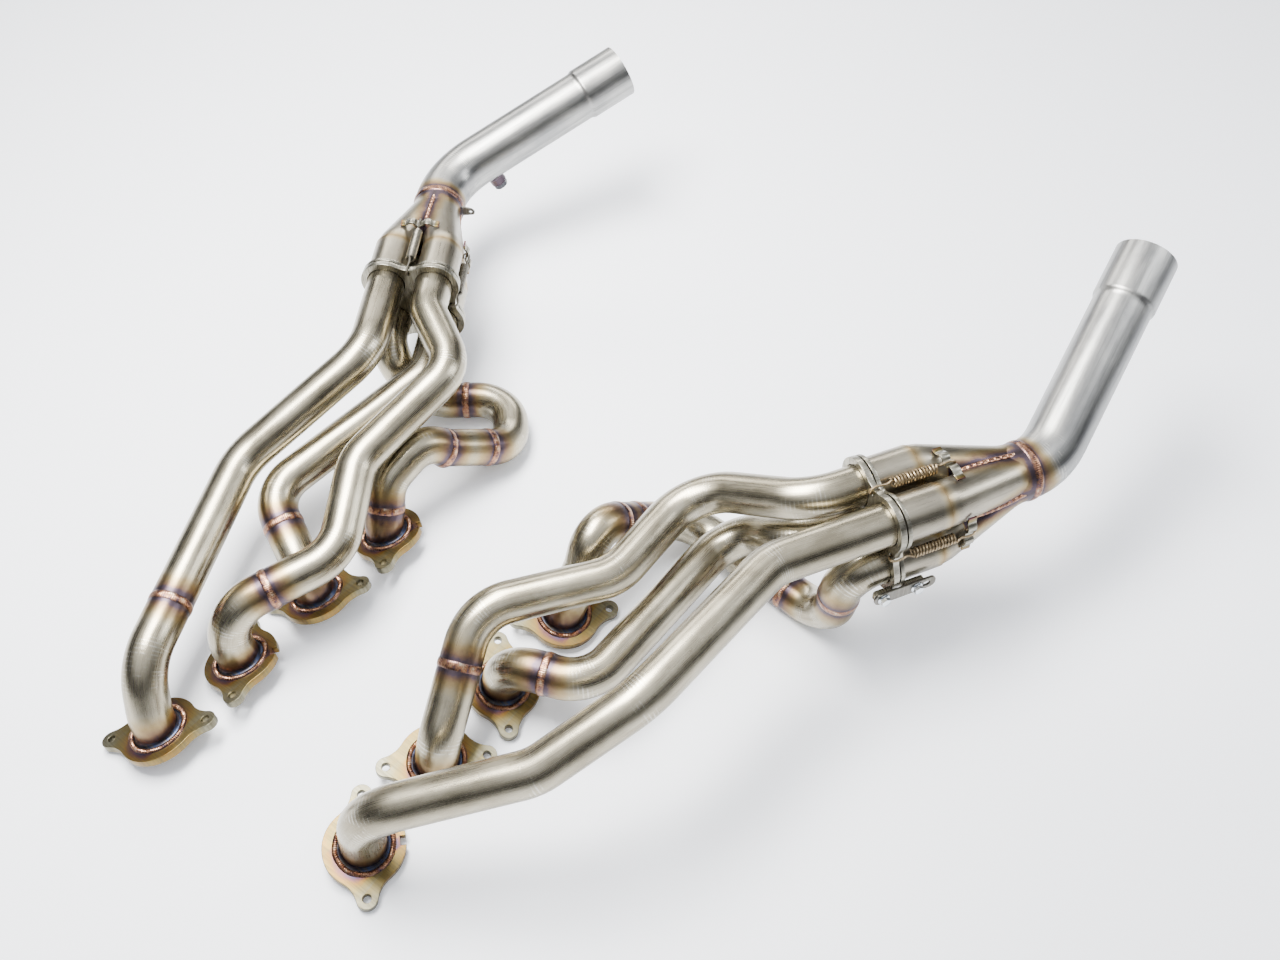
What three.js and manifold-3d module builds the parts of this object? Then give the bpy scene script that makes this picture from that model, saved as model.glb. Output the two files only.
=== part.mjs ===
// Racing exhaust system: the pair of 4-into-1 tubular manifolds of a V8 engine, as they lie on a
// bench, standing on their port flanges and on the return bend of pipe 4.
//
// Each bank has four port flanges, four bent primaries, a slip plate that carries the four primary
// ends, and a collector that slides over those ends and is pulled on by four springs. Behind the
// collector comes an outlet pipe with an expanded socket for the next pipe.
//
// Millimetres, +Z up. The origin is on the floor, at the middle of the pair's footprint.

import * as THREE from "three";
import { mergeVertices } from "three/addons/utils/BufferGeometryUtils.js";
import Module from "manifold-3d";

const wasm = await Module();
wasm.setup();

// ---------------------------------------------------------------- driving dimensions

const GAP = 0.3; // between two pieces that meet face to face
const STEEL_WALL = 1.6;

const PRIMARY_RADIUS = 22.5; // 45 mm tube
const PRIMARY_SIDES = 12;
const BEND_STEP = THREE.MathUtils.degToRad(19); // one ring of the mesh for each step of a bend

const PORT_PITCH = 109; // from one cylinder to the next
const FLANGE = {
  thickness: 9,
  bodyRadius: 41,
  earRadius: 10.5,
  earOffset: 36.5, // along and across the row, so the two bolts are 103 mm apart
  earFillet: 30,
  boltRadius: 4.25,
  bore: PRIMARY_RADIUS + 0.5,
  notchWidth: 9,
  notchDepth: 6,
  weld: { inner: 25.5, outer: 31, crown: 29, height: 2.6 }, // a ring of weld on the plate
};
const STUB_RECESS = 1.5; // the tube's end stands back from the sealing face
const OUTLINE_STEP = 0.45; // radians of a plate's round edge to one side of its mesh
const ROUND_SIDES = 16; // of bores, bosses and weld rings

const LOBE_PITCH = 59; // the four pipes meet the collector in a square
const LOBE_BORE = PRIMARY_RADIUS + 0.7;
const SLIP_PLATE = { back: -7, front: 0, lobeRadius: 31, neckFillet: 30, hookHole: 2.8 };
const COLLECTOR_PLATE = { back: 1, front: 6, lobeRadius: 30.5, neckFillet: 15 };
const SLEEVE = { radius: 25.5, end: 62, sides: 16 };
const MERGE = { start: 62, end: 166, offset: 5.3 };
const OUTLET_NECK = { start: 160, end: 180 };
const OUTLET_RADIUS = 33; // 66 mm outlet
const INSERTION = 38; // how far a primary reaches into its sleeve

const SPRING = { height: 52.5, coilRadius: 5.7, wireRadius: 1.3, coilStart: 13, coilEnd: 65 };
const BRIDGE = { start: 76, end: 86, thickness: 2.4 };
const SPIKE = { base: 108, tip: 150, halfWidth: 9 };

const OUTLET_SIDES = 16;
const SOCKET = { length: 62, taper: 6, radius: OUTLET_RADIUS + 0.6 + STEEL_WALL };

// A bend table is written in its bank's own frame: x along the row of ports from port 1, y to the
// left of the row, z up. "rise" is the first vertex, straight off the flange. A bend is [x, y, z,
// bend radius], and a radius of 0 is a mitred joint. "runIn" is the last vertex, that far in front
// of the slip plate on the axis of its lobe. A weld is [run, part of that run].
const BANKS = {
  left: {
    origin: [-501, 579],
    heading: 51.1,
    flangeTilt: -16,
    ears: [-1, 1, -1, 1],
    collector: { at: [555, 165, 132], yaw: 35, roll: 0 },
    pipes: [
      {
        rise: [25, 60],
        bends: [
          [26, 30, 90, 60],
          [259, 150, 105, 70],
        ],
        runIn: [125, 70],
        lobe: [1, 1],
        pieces: ["port_stub_1", "primary_1"],
        welds: [[2, 0.27]],
      },
      {
        rise: [75, 50],
        bends: [
          [240, -30, 100, 55],
          [333, 31, 125, 60],
          [490, 30, 150, 50],
        ],
        runIn: [50, 40],
        lobe: [-1, 1],
        pieces: ["port_stub_2", "primary_2"],
        welds: [[1, 0.45]],
      },
      {
        rise: [38, 45],
        bends: [[256, 107, 80, 48]],
        runIn: [100, 50],
        lobe: [-1, -1],
        pieces: ["port_stub_3", "primary_3"],
        welds: [[1, 0.6]],
      },
      {
        rise: [17, 20],
        bends: [
          [356, 20, 74, 45],
          [418, 16, 97, 38],
          [435, 6, 72, 0],
          [515, -24, 22.5, 46],
          [573, 32, 22.5, 46],
          [508, 108, 22.5, 45],
        ],
        runIn: [70, 40],
        lobe: [1, -1],
        pieces: ["port_stub_4", "crossover_4", "return_bend_4", "primary_4"],
        welds: [
          [4, 0],
          [4, 0.62],
          [6, 0.55],
        ],
      },
    ],
    outlet: { vertex: 238, radius: 90, end: [1005, 200, 215] },
  },
  right: {
    origin: [-272, 458],
    heading: 55.4,
    flangeTilt: 9,
    ears: [1, -1, 1, -1],
    collector: { at: [530, -260, 160], yaw: -33, roll: -5 },
    pipes: [
      {
        rise: [99, 60],
        bends: [
          [112, -138, 150, 70],
          [212, -188, 190, 90],
        ],
        runIn: [135, 70],
        lobe: [-1, 1],
        pieces: ["primary_1"],
        welds: [],
      },
      {
        rise: [38, 50],
        bends: [
          [228, 32, 120, 60],
          [343, -62, 120, 60],
          [485, -68, 125, 60],
        ],
        runIn: [60, 60],
        lobe: [1, 1],
        pieces: ["port_stub_2", "primary_2"],
        welds: [[1, 0.6]],
      },
      {
        rise: [63, 45],
        bends: [
          [245, -98, 70, 50],
          [506, -115, 70, 50],
        ],
        runIn: [75, 50],
        lobe: [1, -1],
        pieces: ["port_stub_3", "primary_3"],
        welds: [[1, 0.5]],
      },
      {
        rise: [17, 20],
        bends: [
          [362, -6, 72, 40],
          [394, 0, 116, 32],
          [421, -8, 88, 0],
          [512, -48, 22.5, 48],
          [484, -252, 22.5, 48],
        ],
        runIn: [45, 36],
        lobe: [-1, -1],
        pieces: ["port_stub_4", "crossover_4", "return_bend_4", "primary_4"],
        welds: [
          [4, 0],
          [5, 0.716],
          [6, 0.55],
        ],
      },
    ],
    outlet: { vertex: 210, radius: 75, end: [958, -362, 262] },
  },
};

// ---------------------------------------------------------------- finishes

const finish = (color, roughness, metalness) =>
  new THREE.MeshStandardMaterial({ color, roughness, metalness });
const TUBE_STEEL = finish(0xa8a498, 0.32, 1);
const OUTLET_STEEL = finish(0x9a9ea4, 0.38, 1);
const FLANGE_STEEL = finish(0xb0a488, 0.35, 1);
const CAST_STEEL = finish(0x9c978c, 0.36, 1);
const SPRING_STEEL = finish(0xb59a78, 0.3, 1);
const ZINC = finish(0xc8ced4, 0.25, 1);
const DARK_STEEL = finish(0x3a3a3e, 0.5, 1);

// ---------------------------------------------------------------- solids

const V = (x, y, z) => new THREE.Vector3(x, y, z);

// A closed skin over a list of rings with as many points each. As a loop it joins the last ring to
// the first, which makes a tube with a wall; otherwise both ends get a flat cap.
function skin(rings, loop) {
  const sides = rings[0].length;
  const vertices = rings.flat();
  const triangles = [];
  const last = loop ? rings.length : rings.length - 1;
  for (let i = 0; i < last; i++) {
    const near = i * sides;
    const far = ((i + 1) % rings.length) * sides;
    for (let k = 0; k < sides; k++) {
      const next = (k + 1) % sides;
      triangles.push([near + k, near + next, far + next], [near + k, far + next, far + k]);
    }
  }
  if (!loop) {
    const end = (rings.length - 1) * sides;
    for (let k = 1; k < sides - 1; k++) {
      triangles.push([0, k + 1, k], [end, end + k, end + k + 1]);
    }
  }
  const volume = triangles.reduce((sum, [a, b, c]) => {
    const cross = vertices[b].clone().cross(vertices[c]);
    return sum + vertices[a].dot(cross);
  }, 0);
  const faces = volume < 0 ? triangles.map(([a, b, c]) => [a, c, b]) : triangles;
  const geometry = new THREE.BufferGeometry().setFromPoints(vertices);
  geometry.setIndex(faces.flat());
  return geometry.toNonIndexed();
}

const loose = (geometry) => (geometry.index ? geometry.toNonIndexed() : geometry);

function solid(geometry) {
  const bare = new THREE.BufferGeometry();
  bare.setAttribute("position", loose(geometry).getAttribute("position"));
  const merged = mergeVertices(bare, 1e-3);
  const mesh = new wasm.Mesh({
    numProp: 3,
    vertProperties: merged.attributes.position.array,
    triVerts: new Uint32Array(merged.index.array),
  });
  return new wasm.Manifold(mesh);
}

function geometryOf(manifold) {
  const { vertProperties, triVerts } = manifold.getMesh();
  const geometry = new THREE.BufferGeometry();
  geometry.setAttribute("position", new THREE.BufferAttribute(vertProperties, 3));
  geometry.setIndex(new THREE.BufferAttribute(triVerts, 1));
  return geometry.toNonIndexed();
}

const union = (solids) => solids.reduce((whole, next) => whole.add(next));

function circleRing(center, u, v, radius, sides) {
  return Array.from({ length: sides }, (_, k) => {
    const angle = (2 * Math.PI * k) / sides;
    return center
      .clone()
      .addScaledVector(u, radius * Math.cos(angle))
      .addScaledVector(v, radius * Math.sin(angle));
  });
}

function arc(cx, cy, radius, from, to, steps) {
  return Array.from({ length: steps + 1 }, (_, k) => {
    const angle = from + ((to - from) * k) / steps;
    return new THREE.Vector2(cx + radius * Math.cos(angle), cy + radius * Math.sin(angle));
  });
}

// The outline round a ring of circles, listed counter-clockwise, with a hollow fillet between each
// circle and the next.
function beadedOutline(circles, fillet) {
  const between = circles.map((a, i) => {
    const b = circles[(i + 1) % circles.length];
    const reachA = a.radius + fillet;
    const reachB = b.radius + fillet;
    const apart = Math.hypot(b.x - a.x, b.y - a.y);
    const along = (apart ** 2 + reachA ** 2 - reachB ** 2) / (2 * apart);
    const out = Math.sqrt(reachA ** 2 - along ** 2);
    const ux = (b.x - a.x) / apart;
    const uy = (b.y - a.y) / apart;
    return { x: a.x + ux * along + uy * out, y: a.y + uy * along - ux * out };
  });
  const points = [];
  circles.forEach((circle, i) => {
    const before = between[(i + circles.length - 1) % circles.length];
    const after = between[i];
    const next = circles[(i + 1) % circles.length];
    const start = Math.atan2(before.y - circle.y, before.x - circle.x);
    let end = Math.atan2(after.y - circle.y, after.x - circle.x);
    if (end < start) end += 2 * Math.PI;
    const steps = Math.max(2, Math.round((end - start) / OUTLINE_STEP));
    points.push(...arc(circle.x, circle.y, circle.radius, start, end, steps));
    const leave = Math.atan2(circle.y - after.y, circle.x - after.x);
    let arrive = Math.atan2(next.y - after.y, next.x - after.x);
    if (arrive > leave) arrive -= 2 * Math.PI;
    points.push(...arc(after.x, after.y, fillet, leave, arrive, 3).slice(1, -1));
  });
  return points;
}

function extrude(outline, holes, depth) {
  const shape = new THREE.Shape(outline);
  holes.forEach(([x, y, radius, steps]) => {
    shape.holes.push(new THREE.Path(arc(x, y, radius, 0, -2 * Math.PI, steps).slice(0, -1)));
  });
  return new THREE.ExtrudeGeometry(shape, { depth, bevelEnabled: false });
}

// A plate across the collector: its outline is in the y-z plane, and it runs from x to x + depth.
function crossPlate(outline, holes, x, depth) {
  const turned = new THREE.Matrix4().makeBasis(V(0, 1, 0), V(0, 0, 1), V(1, 0, 0));
  return extrude(outline, holes, depth).applyMatrix4(turned).translate(x, 0, 0);
}

// ---------------------------------------------------------------- bent tubes

// The centre line of a bend table, as stations with a place, a direction and the plane of the ring.
function centreLine(vertices) {
  const at = vertices.map(([x, y, z]) => V(x, y, z));
  const heading = at.slice(1).map((p, i) => p.clone().sub(at[i]).normalize());
  const stations = [{ place: at[0], along: heading[0], plane: heading[0], run: 0 }];
  for (let i = 1; i < at.length - 1; i++) {
    const before = heading[i - 1];
    const after = heading[i];
    const turn = before.angleTo(after);
    const radius = vertices[i][3];
    if (!radius) {
      const plane = before.clone().add(after).normalize();
      stations.push({ place: at[i], along: before, plane, run: i });
      continue;
    }
    const inward = after.clone().sub(before).normalize();
    const centre = at[i].clone().addScaledVector(inward, radius / Math.cos(turn / 2));
    const axis = before.clone().cross(after).normalize();
    const start = at[i].clone().addScaledVector(before, -radius * Math.tan(turn / 2));
    const steps = Math.max(2, Math.round(turn / BEND_STEP));
    for (let k = 0; k <= steps; k++) {
      const angle = (turn * k) / steps;
      const place = start.clone().sub(centre).applyAxisAngle(axis, angle).add(centre);
      const along = before.clone().applyAxisAngle(axis, angle);
      stations.push({ place, along, plane: along, run: k === steps ? i : i - 1 });
    }
  }
  const end = at.length - 1;
  stations.push({ place: at[end], along: heading[end - 1], plane: heading[end - 1], run: end - 1 });
  return stations;
}

// Cuts a centre line at its welds and leaves the gap of a face-to-face joint at each one.
function cutAtWelds(vertices, stations, welds) {
  const at = vertices.map(([x, y, z]) => V(x, y, z));
  const pieces = [];
  let rest = stations;
  welds.forEach(([run, part]) => {
    if (part === 0) {
      const i = rest.findIndex((s) => s.place.distanceTo(at[run]) < 1e-6);
      const corner = rest[i];
      const along = at[run + 1].clone().sub(at[run]).normalize();
      const slope = corner.along.dot(corner.plane);
      const back = corner.place.clone().addScaledVector(corner.along, -GAP / slope / 2);
      const on = corner.place.clone().addScaledVector(along, GAP / slope / 2);
      pieces.push([...rest.slice(0, i), { ...corner, place: back }]);
      rest = [{ ...corner, place: on, along }, ...rest.slice(i + 1)];
      return;
    }
    const along = at[run + 1].clone().sub(at[run]).normalize();
    const cut = at[run].clone().lerp(at[run + 1], part);
    const i = rest.findIndex(
      (s) => s.run >= run && s.place.clone().sub(cut).dot(along) > 0 && s.along.dot(along) > 0.99,
    );
    const face = (side) => cut.clone().addScaledVector(along, (side * GAP) / 2);
    pieces.push([...rest.slice(0, i), { place: face(-1), along, plane: along, run }]);
    rest = [{ place: face(1), along, plane: along, run }, ...rest.slice(i)];
  });
  return [...pieces, rest];
}

// The rings round a centre line, carried along it without twist.
function ringsAlong(stations, radiusAt, sides) {
  const first = stations[0].along;
  const hint = Math.abs(first.z) < 0.9 ? V(0, 0, 1) : V(1, 0, 0);
  let u = hint.clone().cross(first).normalize();
  return stations.map(({ place, along, plane }, i) => {
    u = u.clone().addScaledVector(along, -u.dot(along)).normalize();
    const v = along.clone().cross(u);
    const ring = circleRing(place, u, v, radiusAt(i), sides);
    return ring.map((p) => {
      const off = p.clone().sub(place).dot(plane) / along.dot(plane);
      return p.addScaledVector(along, -off);
    });
  });
}

function tube(stations, radiusAt, wall, sides) {
  const outer = ringsAlong(stations, radiusAt, sides);
  const inner = ringsAlong(stations, (i) => radiusAt(i) - wall, sides);
  return skin([...outer, ...inner.reverse()], true);
}

// ---------------------------------------------------------------- one bank

function bankFrame(bank) {
  const tilt = THREE.MathUtils.degToRad(bank.flangeTilt);
  const reach = FLANGE.earOffset + FLANGE.earRadius;
  const normal = V(0, -Math.sin(tilt), Math.cos(tilt));
  const portAt = (i) => V(i * PORT_PITCH, 0, reach * Math.abs(Math.sin(tilt)));
  const { at, yaw, roll } = bank.collector;
  const turn = new THREE.Euler(
    THREE.MathUtils.degToRad(roll),
    0,
    THREE.MathUtils.degToRad(yaw),
    "ZYX",
  );
  const matrix = new THREE.Matrix4().makeRotationFromEuler(turn).setPosition(...at);
  return { tilt, normal, portAt, turn, matrix };
}

// The weld between flange and tube, which stands on the plate as a ring clear of the tube.
function weldRing() {
  const { inner, outer, crown, height } = FLANGE.weld;
  const low = FLANGE.thickness - 1;
  const high = FLANGE.thickness + height;
  const upright = (top, bottom, from, to) =>
    new THREE.CylinderGeometry(top, bottom, to - from, ROUND_SIDES)
      .rotateX(Math.PI / 2)
      .translate(0, 0, (from + to) / 2);
  const hole = solid(upright(inner, inner, low - 1, high + 1));
  return solid(upright(crown, outer, low, high)).subtract(hole);
}

// A laser-cut flange: a round body, two bolt ears on a diagonal and a locating notch.
function portFlange(side) {
  const ear = (s) => ({
    x: s * FLANGE.earOffset,
    y: s * side * FLANGE.earOffset,
    radius: FLANGE.earRadius,
  });
  const body = { x: 0, y: 0, radius: FLANGE.bodyRadius };
  const outline = beadedOutline([ear(1), body, ear(-1), body], FLANGE.earFillet);
  const bolts = [1, -1].map((s) => [
    s * FLANGE.earOffset,
    s * side * FLANGE.earOffset,
    FLANGE.boltRadius,
    8,
  ]);
  const plate = extrude(outline, [[0, 0, FLANGE.bore, ROUND_SIDES], ...bolts], FLANGE.thickness);
  const notch = new THREE.BoxGeometry(FLANGE.notchWidth, 2 * FLANGE.notchDepth, 40);
  notch.rotateZ((side * -Math.PI) / 4);
  const edge = FLANGE.bodyRadius * Math.SQRT1_2;
  notch.translate(edge, -side * edge, 0);
  return geometryOf(solid(plate).subtract(solid(notch)).add(weldRing()));
}

function portFlanges(name, bank, frame) {
  return bank.ears.map((side, i) => {
    const mesh = new THREE.Mesh(portFlange(side), FLANGE_STEEL);
    mesh.name = `${name}_port_flange_${i + 1}`;
    mesh.position.copy(frame.portAt(i));
    mesh.rotation.x = frame.tilt;
    return mesh;
  });
}

function lobePoint(frame, [left, up], x) {
  const half = LOBE_PITCH / 2;
  return V(x, left * half, up * half).applyMatrix4(frame.matrix);
}

function pipeVertices(pipe, frame, index) {
  const port = frame.portAt(index);
  const [rise, riseRadius] = pipe.rise;
  const [runIn, runInRadius] = pipe.runIn;
  const start = port.clone().addScaledVector(frame.normal, STUB_RECESS);
  const first = port.clone().addScaledVector(frame.normal, rise);
  const last = lobePoint(frame, pipe.lobe, -runIn);
  const end = lobePoint(frame, pipe.lobe, INSERTION);
  return [
    [...start.toArray(), 0],
    [...first.toArray(), riseRadius],
    ...pipe.bends,
    [...last.toArray(), runInRadius],
    [...end.toArray(), 0],
  ];
}

function primaries(name, bank, frame) {
  return bank.pipes.flatMap((pipe, index) => {
    const vertices = pipeVertices(pipe, frame, index);
    const lines = cutAtWelds(vertices, centreLine(vertices), pipe.welds);
    return lines.map((stations, k) => {
      const geometry = tube(stations, () => PRIMARY_RADIUS, STEEL_WALL, PRIMARY_SIDES);
      const mesh = new THREE.Mesh(geometry, TUBE_STEEL);
      mesh.name = `${name}_${pipe.pieces[k]}`;
      return mesh;
    });
  });
}

// ---------------------------------------------------------------- collector, in its own frame:
// x downstream from the slip plate's face, y to the left, z up

const LOBES = [
  [-1, -1],
  [1, -1],
  [1, 1],
  [-1, 1],
];

function cloverOutline({ lobeRadius, neckFillet }) {
  const circles = LOBES.map(([left, up]) => ({
    x: (left * LOBE_PITCH) / 2,
    y: (up * LOBE_PITCH) / 2,
    radius: lobeRadius,
  }));
  return beadedOutline(circles, neckFillet);
}

const lobeHoles = () =>
  LOBES.map(([left, up]) => [(left * LOBE_PITCH) / 2, (up * LOBE_PITCH) / 2, LOBE_BORE, 16]);

// The plate that is fixed to the four primary ends, with a spring hole in each neck.
function slipPlate() {
  const away = LOBE_PITCH / 2 + 17;
  const hooks = [
    [0, away],
    [0, -away],
    [away, 0],
    [-away, 0],
  ].map(([y, z]) => [y, z, SLIP_PLATE.hookHole, 8]);
  const depth = SLIP_PLATE.front - SLIP_PLATE.back;
  const holes = [...lobeHoles(), ...hooks];
  return crossPlate(cloverOutline(SLIP_PLATE), holes, SLIP_PLATE.back, depth);
}

function collectorPlate() {
  const depth = COLLECTOR_PLATE.front - COLLECTOR_PLATE.back;
  return crossPlate(cloverOutline(COLLECTOR_PLATE), lobeHoles(), COLLECTOR_PLATE.back, depth);
}

// One leg of the collector, from its sleeve to the outlet neck, where the four legs run together.
function leg([left, up], start, radius) {
  const half = LOBE_PITCH / 2;
  const ring = (x, offset) =>
    circleRing(V(x, left * offset, up * offset), V(0, 1, 0), V(0, 0, 1), radius, SLEEVE.sides);
  return solid(
    skin([ring(start, half), ring(MERGE.start, half), ring(MERGE.end, MERGE.offset)], false),
  );
}

function neck(start, end, radius) {
  const ring = (x) => circleRing(V(x, 0, 0), V(0, 1, 0), V(0, 0, 1), radius, OUTLET_SIDES);
  return solid(skin([ring(start), ring(end)], false));
}

const collectorVoid = (shrink) =>
  union([
    ...LOBES.map((lobe) => leg(lobe, -1, LOBE_BORE - shrink)),
    neck(OUTLET_NECK.start, OUTLET_NECK.end + 1, OUTLET_RADIUS - STEEL_WALL - shrink),
  ]);

function collectorShell() {
  const start = COLLECTOR_PLATE.front + GAP;
  const outside = union([
    ...LOBES.map((lobe) => leg(lobe, start, SLEEVE.radius)),
    neck(OUTLET_NECK.start, OUTLET_NECK.end, OUTLET_RADIUS),
  ]);
  return geometryOf(outside.subtract(collectorVoid(0)));
}

// The pointed piece that closes the middle of the merge and keeps the four streams together.
function mergeSpike() {
  const square = (x, half) => circleRing(V(x, 0, 0), V(0, 1, 0), V(0, 0, 1), half, 4);
  const pyramid = skin([square(SPIKE.base, SPIKE.halfWidth), square(SPIKE.tip, 0.5)], false);
  return geometryOf(solid(pyramid).intersect(collectorVoid(GAP)));
}

// A strap bent over the valley between two legs, with a dip in its middle for the spring's hook.
function springBridge() {
  const foot = 52.9;
  const crown = 56.5;
  const dip = 52.6;
  const line = [
    [-24, foot],
    [-17, foot],
    [-12, crown],
    [-7, crown],
    [-4, dip],
    [4, dip],
    [7, crown],
    [12, crown],
    [17, foot],
    [24, foot],
  ];
  const half = BRIDGE.thickness / 2;
  const offset = (by) => line.map(([y, z]) => new THREE.Vector2(y, z + by));
  const outline = [...offset(-half), ...offset(half).reverse()];
  return crossPlate(outline, [], BRIDGE.start, BRIDGE.end - BRIDGE.start);
}

// A tension spring, as the solid round its coils, with the straight wire of its two hooks.
function tensionSpring() {
  const { coilRadius, wireRadius, coilStart, coilEnd, height } = SPRING;
  const start = SLIP_PLATE.front + GAP;
  const end = BRIDGE.start - GAP;
  const profile = [
    [0, start],
    [wireRadius, start],
    [wireRadius, coilStart - 2],
    [coilRadius, coilStart],
    [coilRadius, coilEnd],
    [wireRadius, coilEnd + 2],
    [wireRadius, end],
    [0, end],
  ].map(([r, x]) => new THREE.Vector2(r, x));
  return new THREE.LatheGeometry(profile, 10).rotateZ(-Math.PI / 2).translate(0, 0, height);
}

// ---------------------------------------------------------------- strap that keeps a collector on

const STRAP = { x: [-30, 42], y: [-64.4, -61.6], z: [-52, -36] };
const LUG = { y: [-61.3, -55.4], z: [-50, -38], bolt: 3.3 };
const PRIMARY_BOLT_X = -20;
const COLLECTOR_BOLT_X = 19;
const SLIP_TRAVEL = 12;
const BOLT_HEIGHT = (STRAP.z[0] + STRAP.z[1]) / 2;

function box([x0, x1], [y0, y1], [z0, z1]) {
  const geometry = new THREE.BoxGeometry(x1 - x0, y1 - y0, z1 - z0);
  return geometry.translate((x0 + x1) / 2, (y0 + y1) / 2, (z0 + z1) / 2);
}

// A rod along y through the strap's bolt line.
function crossRod(x, [y0, y1], radius, sides) {
  const rod = new THREE.CylinderGeometry(radius, radius, y1 - y0, sides);
  return rod.translate(x, (y0 + y1) / 2, BOLT_HEIGHT);
}

function withLug(plate, x, boltX) {
  const lug = solid(box(x, LUG.y, LUG.z)).subtract(
    solid(crossRod(boltX, [LUG.y[0] - 1, LUG.y[1] + 1], LUG.bolt, 12)),
  );
  return geometryOf(solid(plate).add(lug));
}

function keeperStrap() {
  const through = [STRAP.y[0] - 1, STRAP.y[1] + 1];
  const slotEnd = COLLECTOR_BOLT_X + SLIP_TRAVEL + 1;
  const cuts = [
    solid(crossRod(PRIMARY_BOLT_X, through, LUG.bolt, 12)),
    solid(crossRod(COLLECTOR_BOLT_X, through, LUG.bolt, 12)),
    solid(crossRod(slotEnd, through, LUG.bolt, 12)),
    solid(
      box([COLLECTOR_BOLT_X, slotEnd], through, [BOLT_HEIGHT - LUG.bolt, BOLT_HEIGHT + LUG.bolt]),
    ),
  ];
  return geometryOf(solid(box(STRAP.x, STRAP.y, STRAP.z)).subtract(union(cuts)));
}

// A hexagon flange bolt that stands on the strap, with its shank in the lug.
function flangeBolt(x) {
  const seat = STRAP.y[0] - GAP;
  const parts = [
    crossRod(x, [seat - 1.4, seat], 6.8, 16),
    crossRod(x, [seat - 6.5, seat - 1.2], 5.2, 6),
    crossRod(x, [seat - 1, LUG.y[1]], 3, 12),
  ];
  return geometryOf(union(parts.map(solid)));
}

// ---------------------------------------------------------------- outlet pipe and its fittings

function outletLine(bank, frame) {
  const start = V(OUTLET_NECK.end + GAP, 0, 0).applyMatrix4(frame.matrix);
  const vertex = V(bank.outlet.vertex, 0, 0).applyMatrix4(frame.matrix);
  return [[...start.toArray(), 0], [...vertex.toArray(), bank.outlet.radius], [...bank.outlet.end, 0]];
}

// The pipe with its last stretch expanded into a socket.
function outletPipe(vertices) {
  const stations = centreLine(vertices);
  const end = stations.pop();
  const before = (distance) => ({
    ...end,
    place: end.place.clone().addScaledVector(end.along, -distance),
  });
  const swell = stations.length;
  stations.push(before(SOCKET.length + SOCKET.taper), before(SOCKET.length), end);
  const radiusAt = (i) => (i > swell ? SOCKET.radius : OUTLET_RADIUS);
  return tube(stations, radiusAt, STEEL_WALL, OUTLET_SIDES);
}

const SENSOR = { beyondVertex: 62, bossRadius: 11, bossBore: 7.6, bossHeight: 12, turn: -0.15 };

// The frame of the sensor boss: its axis points away from the outlet pipe, down and to one side.
function sensorFrame(vertices) {
  const vertex = V(...vertices[1].slice(0, 3));
  const along = V(...vertices[2].slice(0, 3)).sub(vertex).normalize();
  const down = V(0, 0, -1).addScaledVector(along, along.z).normalize();
  const out = down.clone().applyAxisAngle(along, SENSOR.turn);
  const place = vertex.addScaledVector(along, SENSOR.beyondVertex);
  return new THREE.Matrix4().makeBasis(out.clone().cross(along), out, along).setPosition(place);
}

function rodOut(radius, from, to, sides) {
  const rod = new THREE.CylinderGeometry(radius, radius, to - from, sides);
  return rod.translate(0, (from + to) / 2, 0);
}

function sensorFittings(pipeGeometry, vertices) {
  const frame = sensorFrame(vertices);
  const base = OUTLET_RADIUS + GAP;
  const top = base + SENSOR.bossHeight;
  const drill = solid(rodOut(SENSOR.bossBore, OUTLET_RADIUS / 2, top, 16).applyMatrix4(frame));
  const pipe = geometryOf(solid(pipeGeometry).subtract(drill));
  const boss = geometryOf(
    solid(rodOut(SENSOR.bossRadius, base, top, 16)).subtract(
      solid(rodOut(SENSOR.bossBore, base - 1, top + 1, 16)),
    ),
  ).applyMatrix4(frame);
  const plug = geometryOf(
    solid(rodOut(SENSOR.bossBore - GAP, base, top + 1, 16)).add(
      solid(rodOut(10, top + GAP, top + 7, 6)),
    ),
  ).applyMatrix4(frame);
  return { pipe, boss, plug };
}

// A small tab beside the outlet neck, with a hole for a heat shield's clip.
function shieldTab() {
  const outline = [
    [-46, 5],
    [-50, 0],
    [-48, -4],
    [-OUTLET_RADIUS - GAP, -6],
    [-OUTLET_RADIUS - GAP, 8],
  ].map(([y, z]) => new THREE.Vector2(y, z));
  return crossPlate(outline, [[-44, 0, 2.2, 8]], 172, 3);
}

// ---------------------------------------------------------------- assembly

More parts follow.
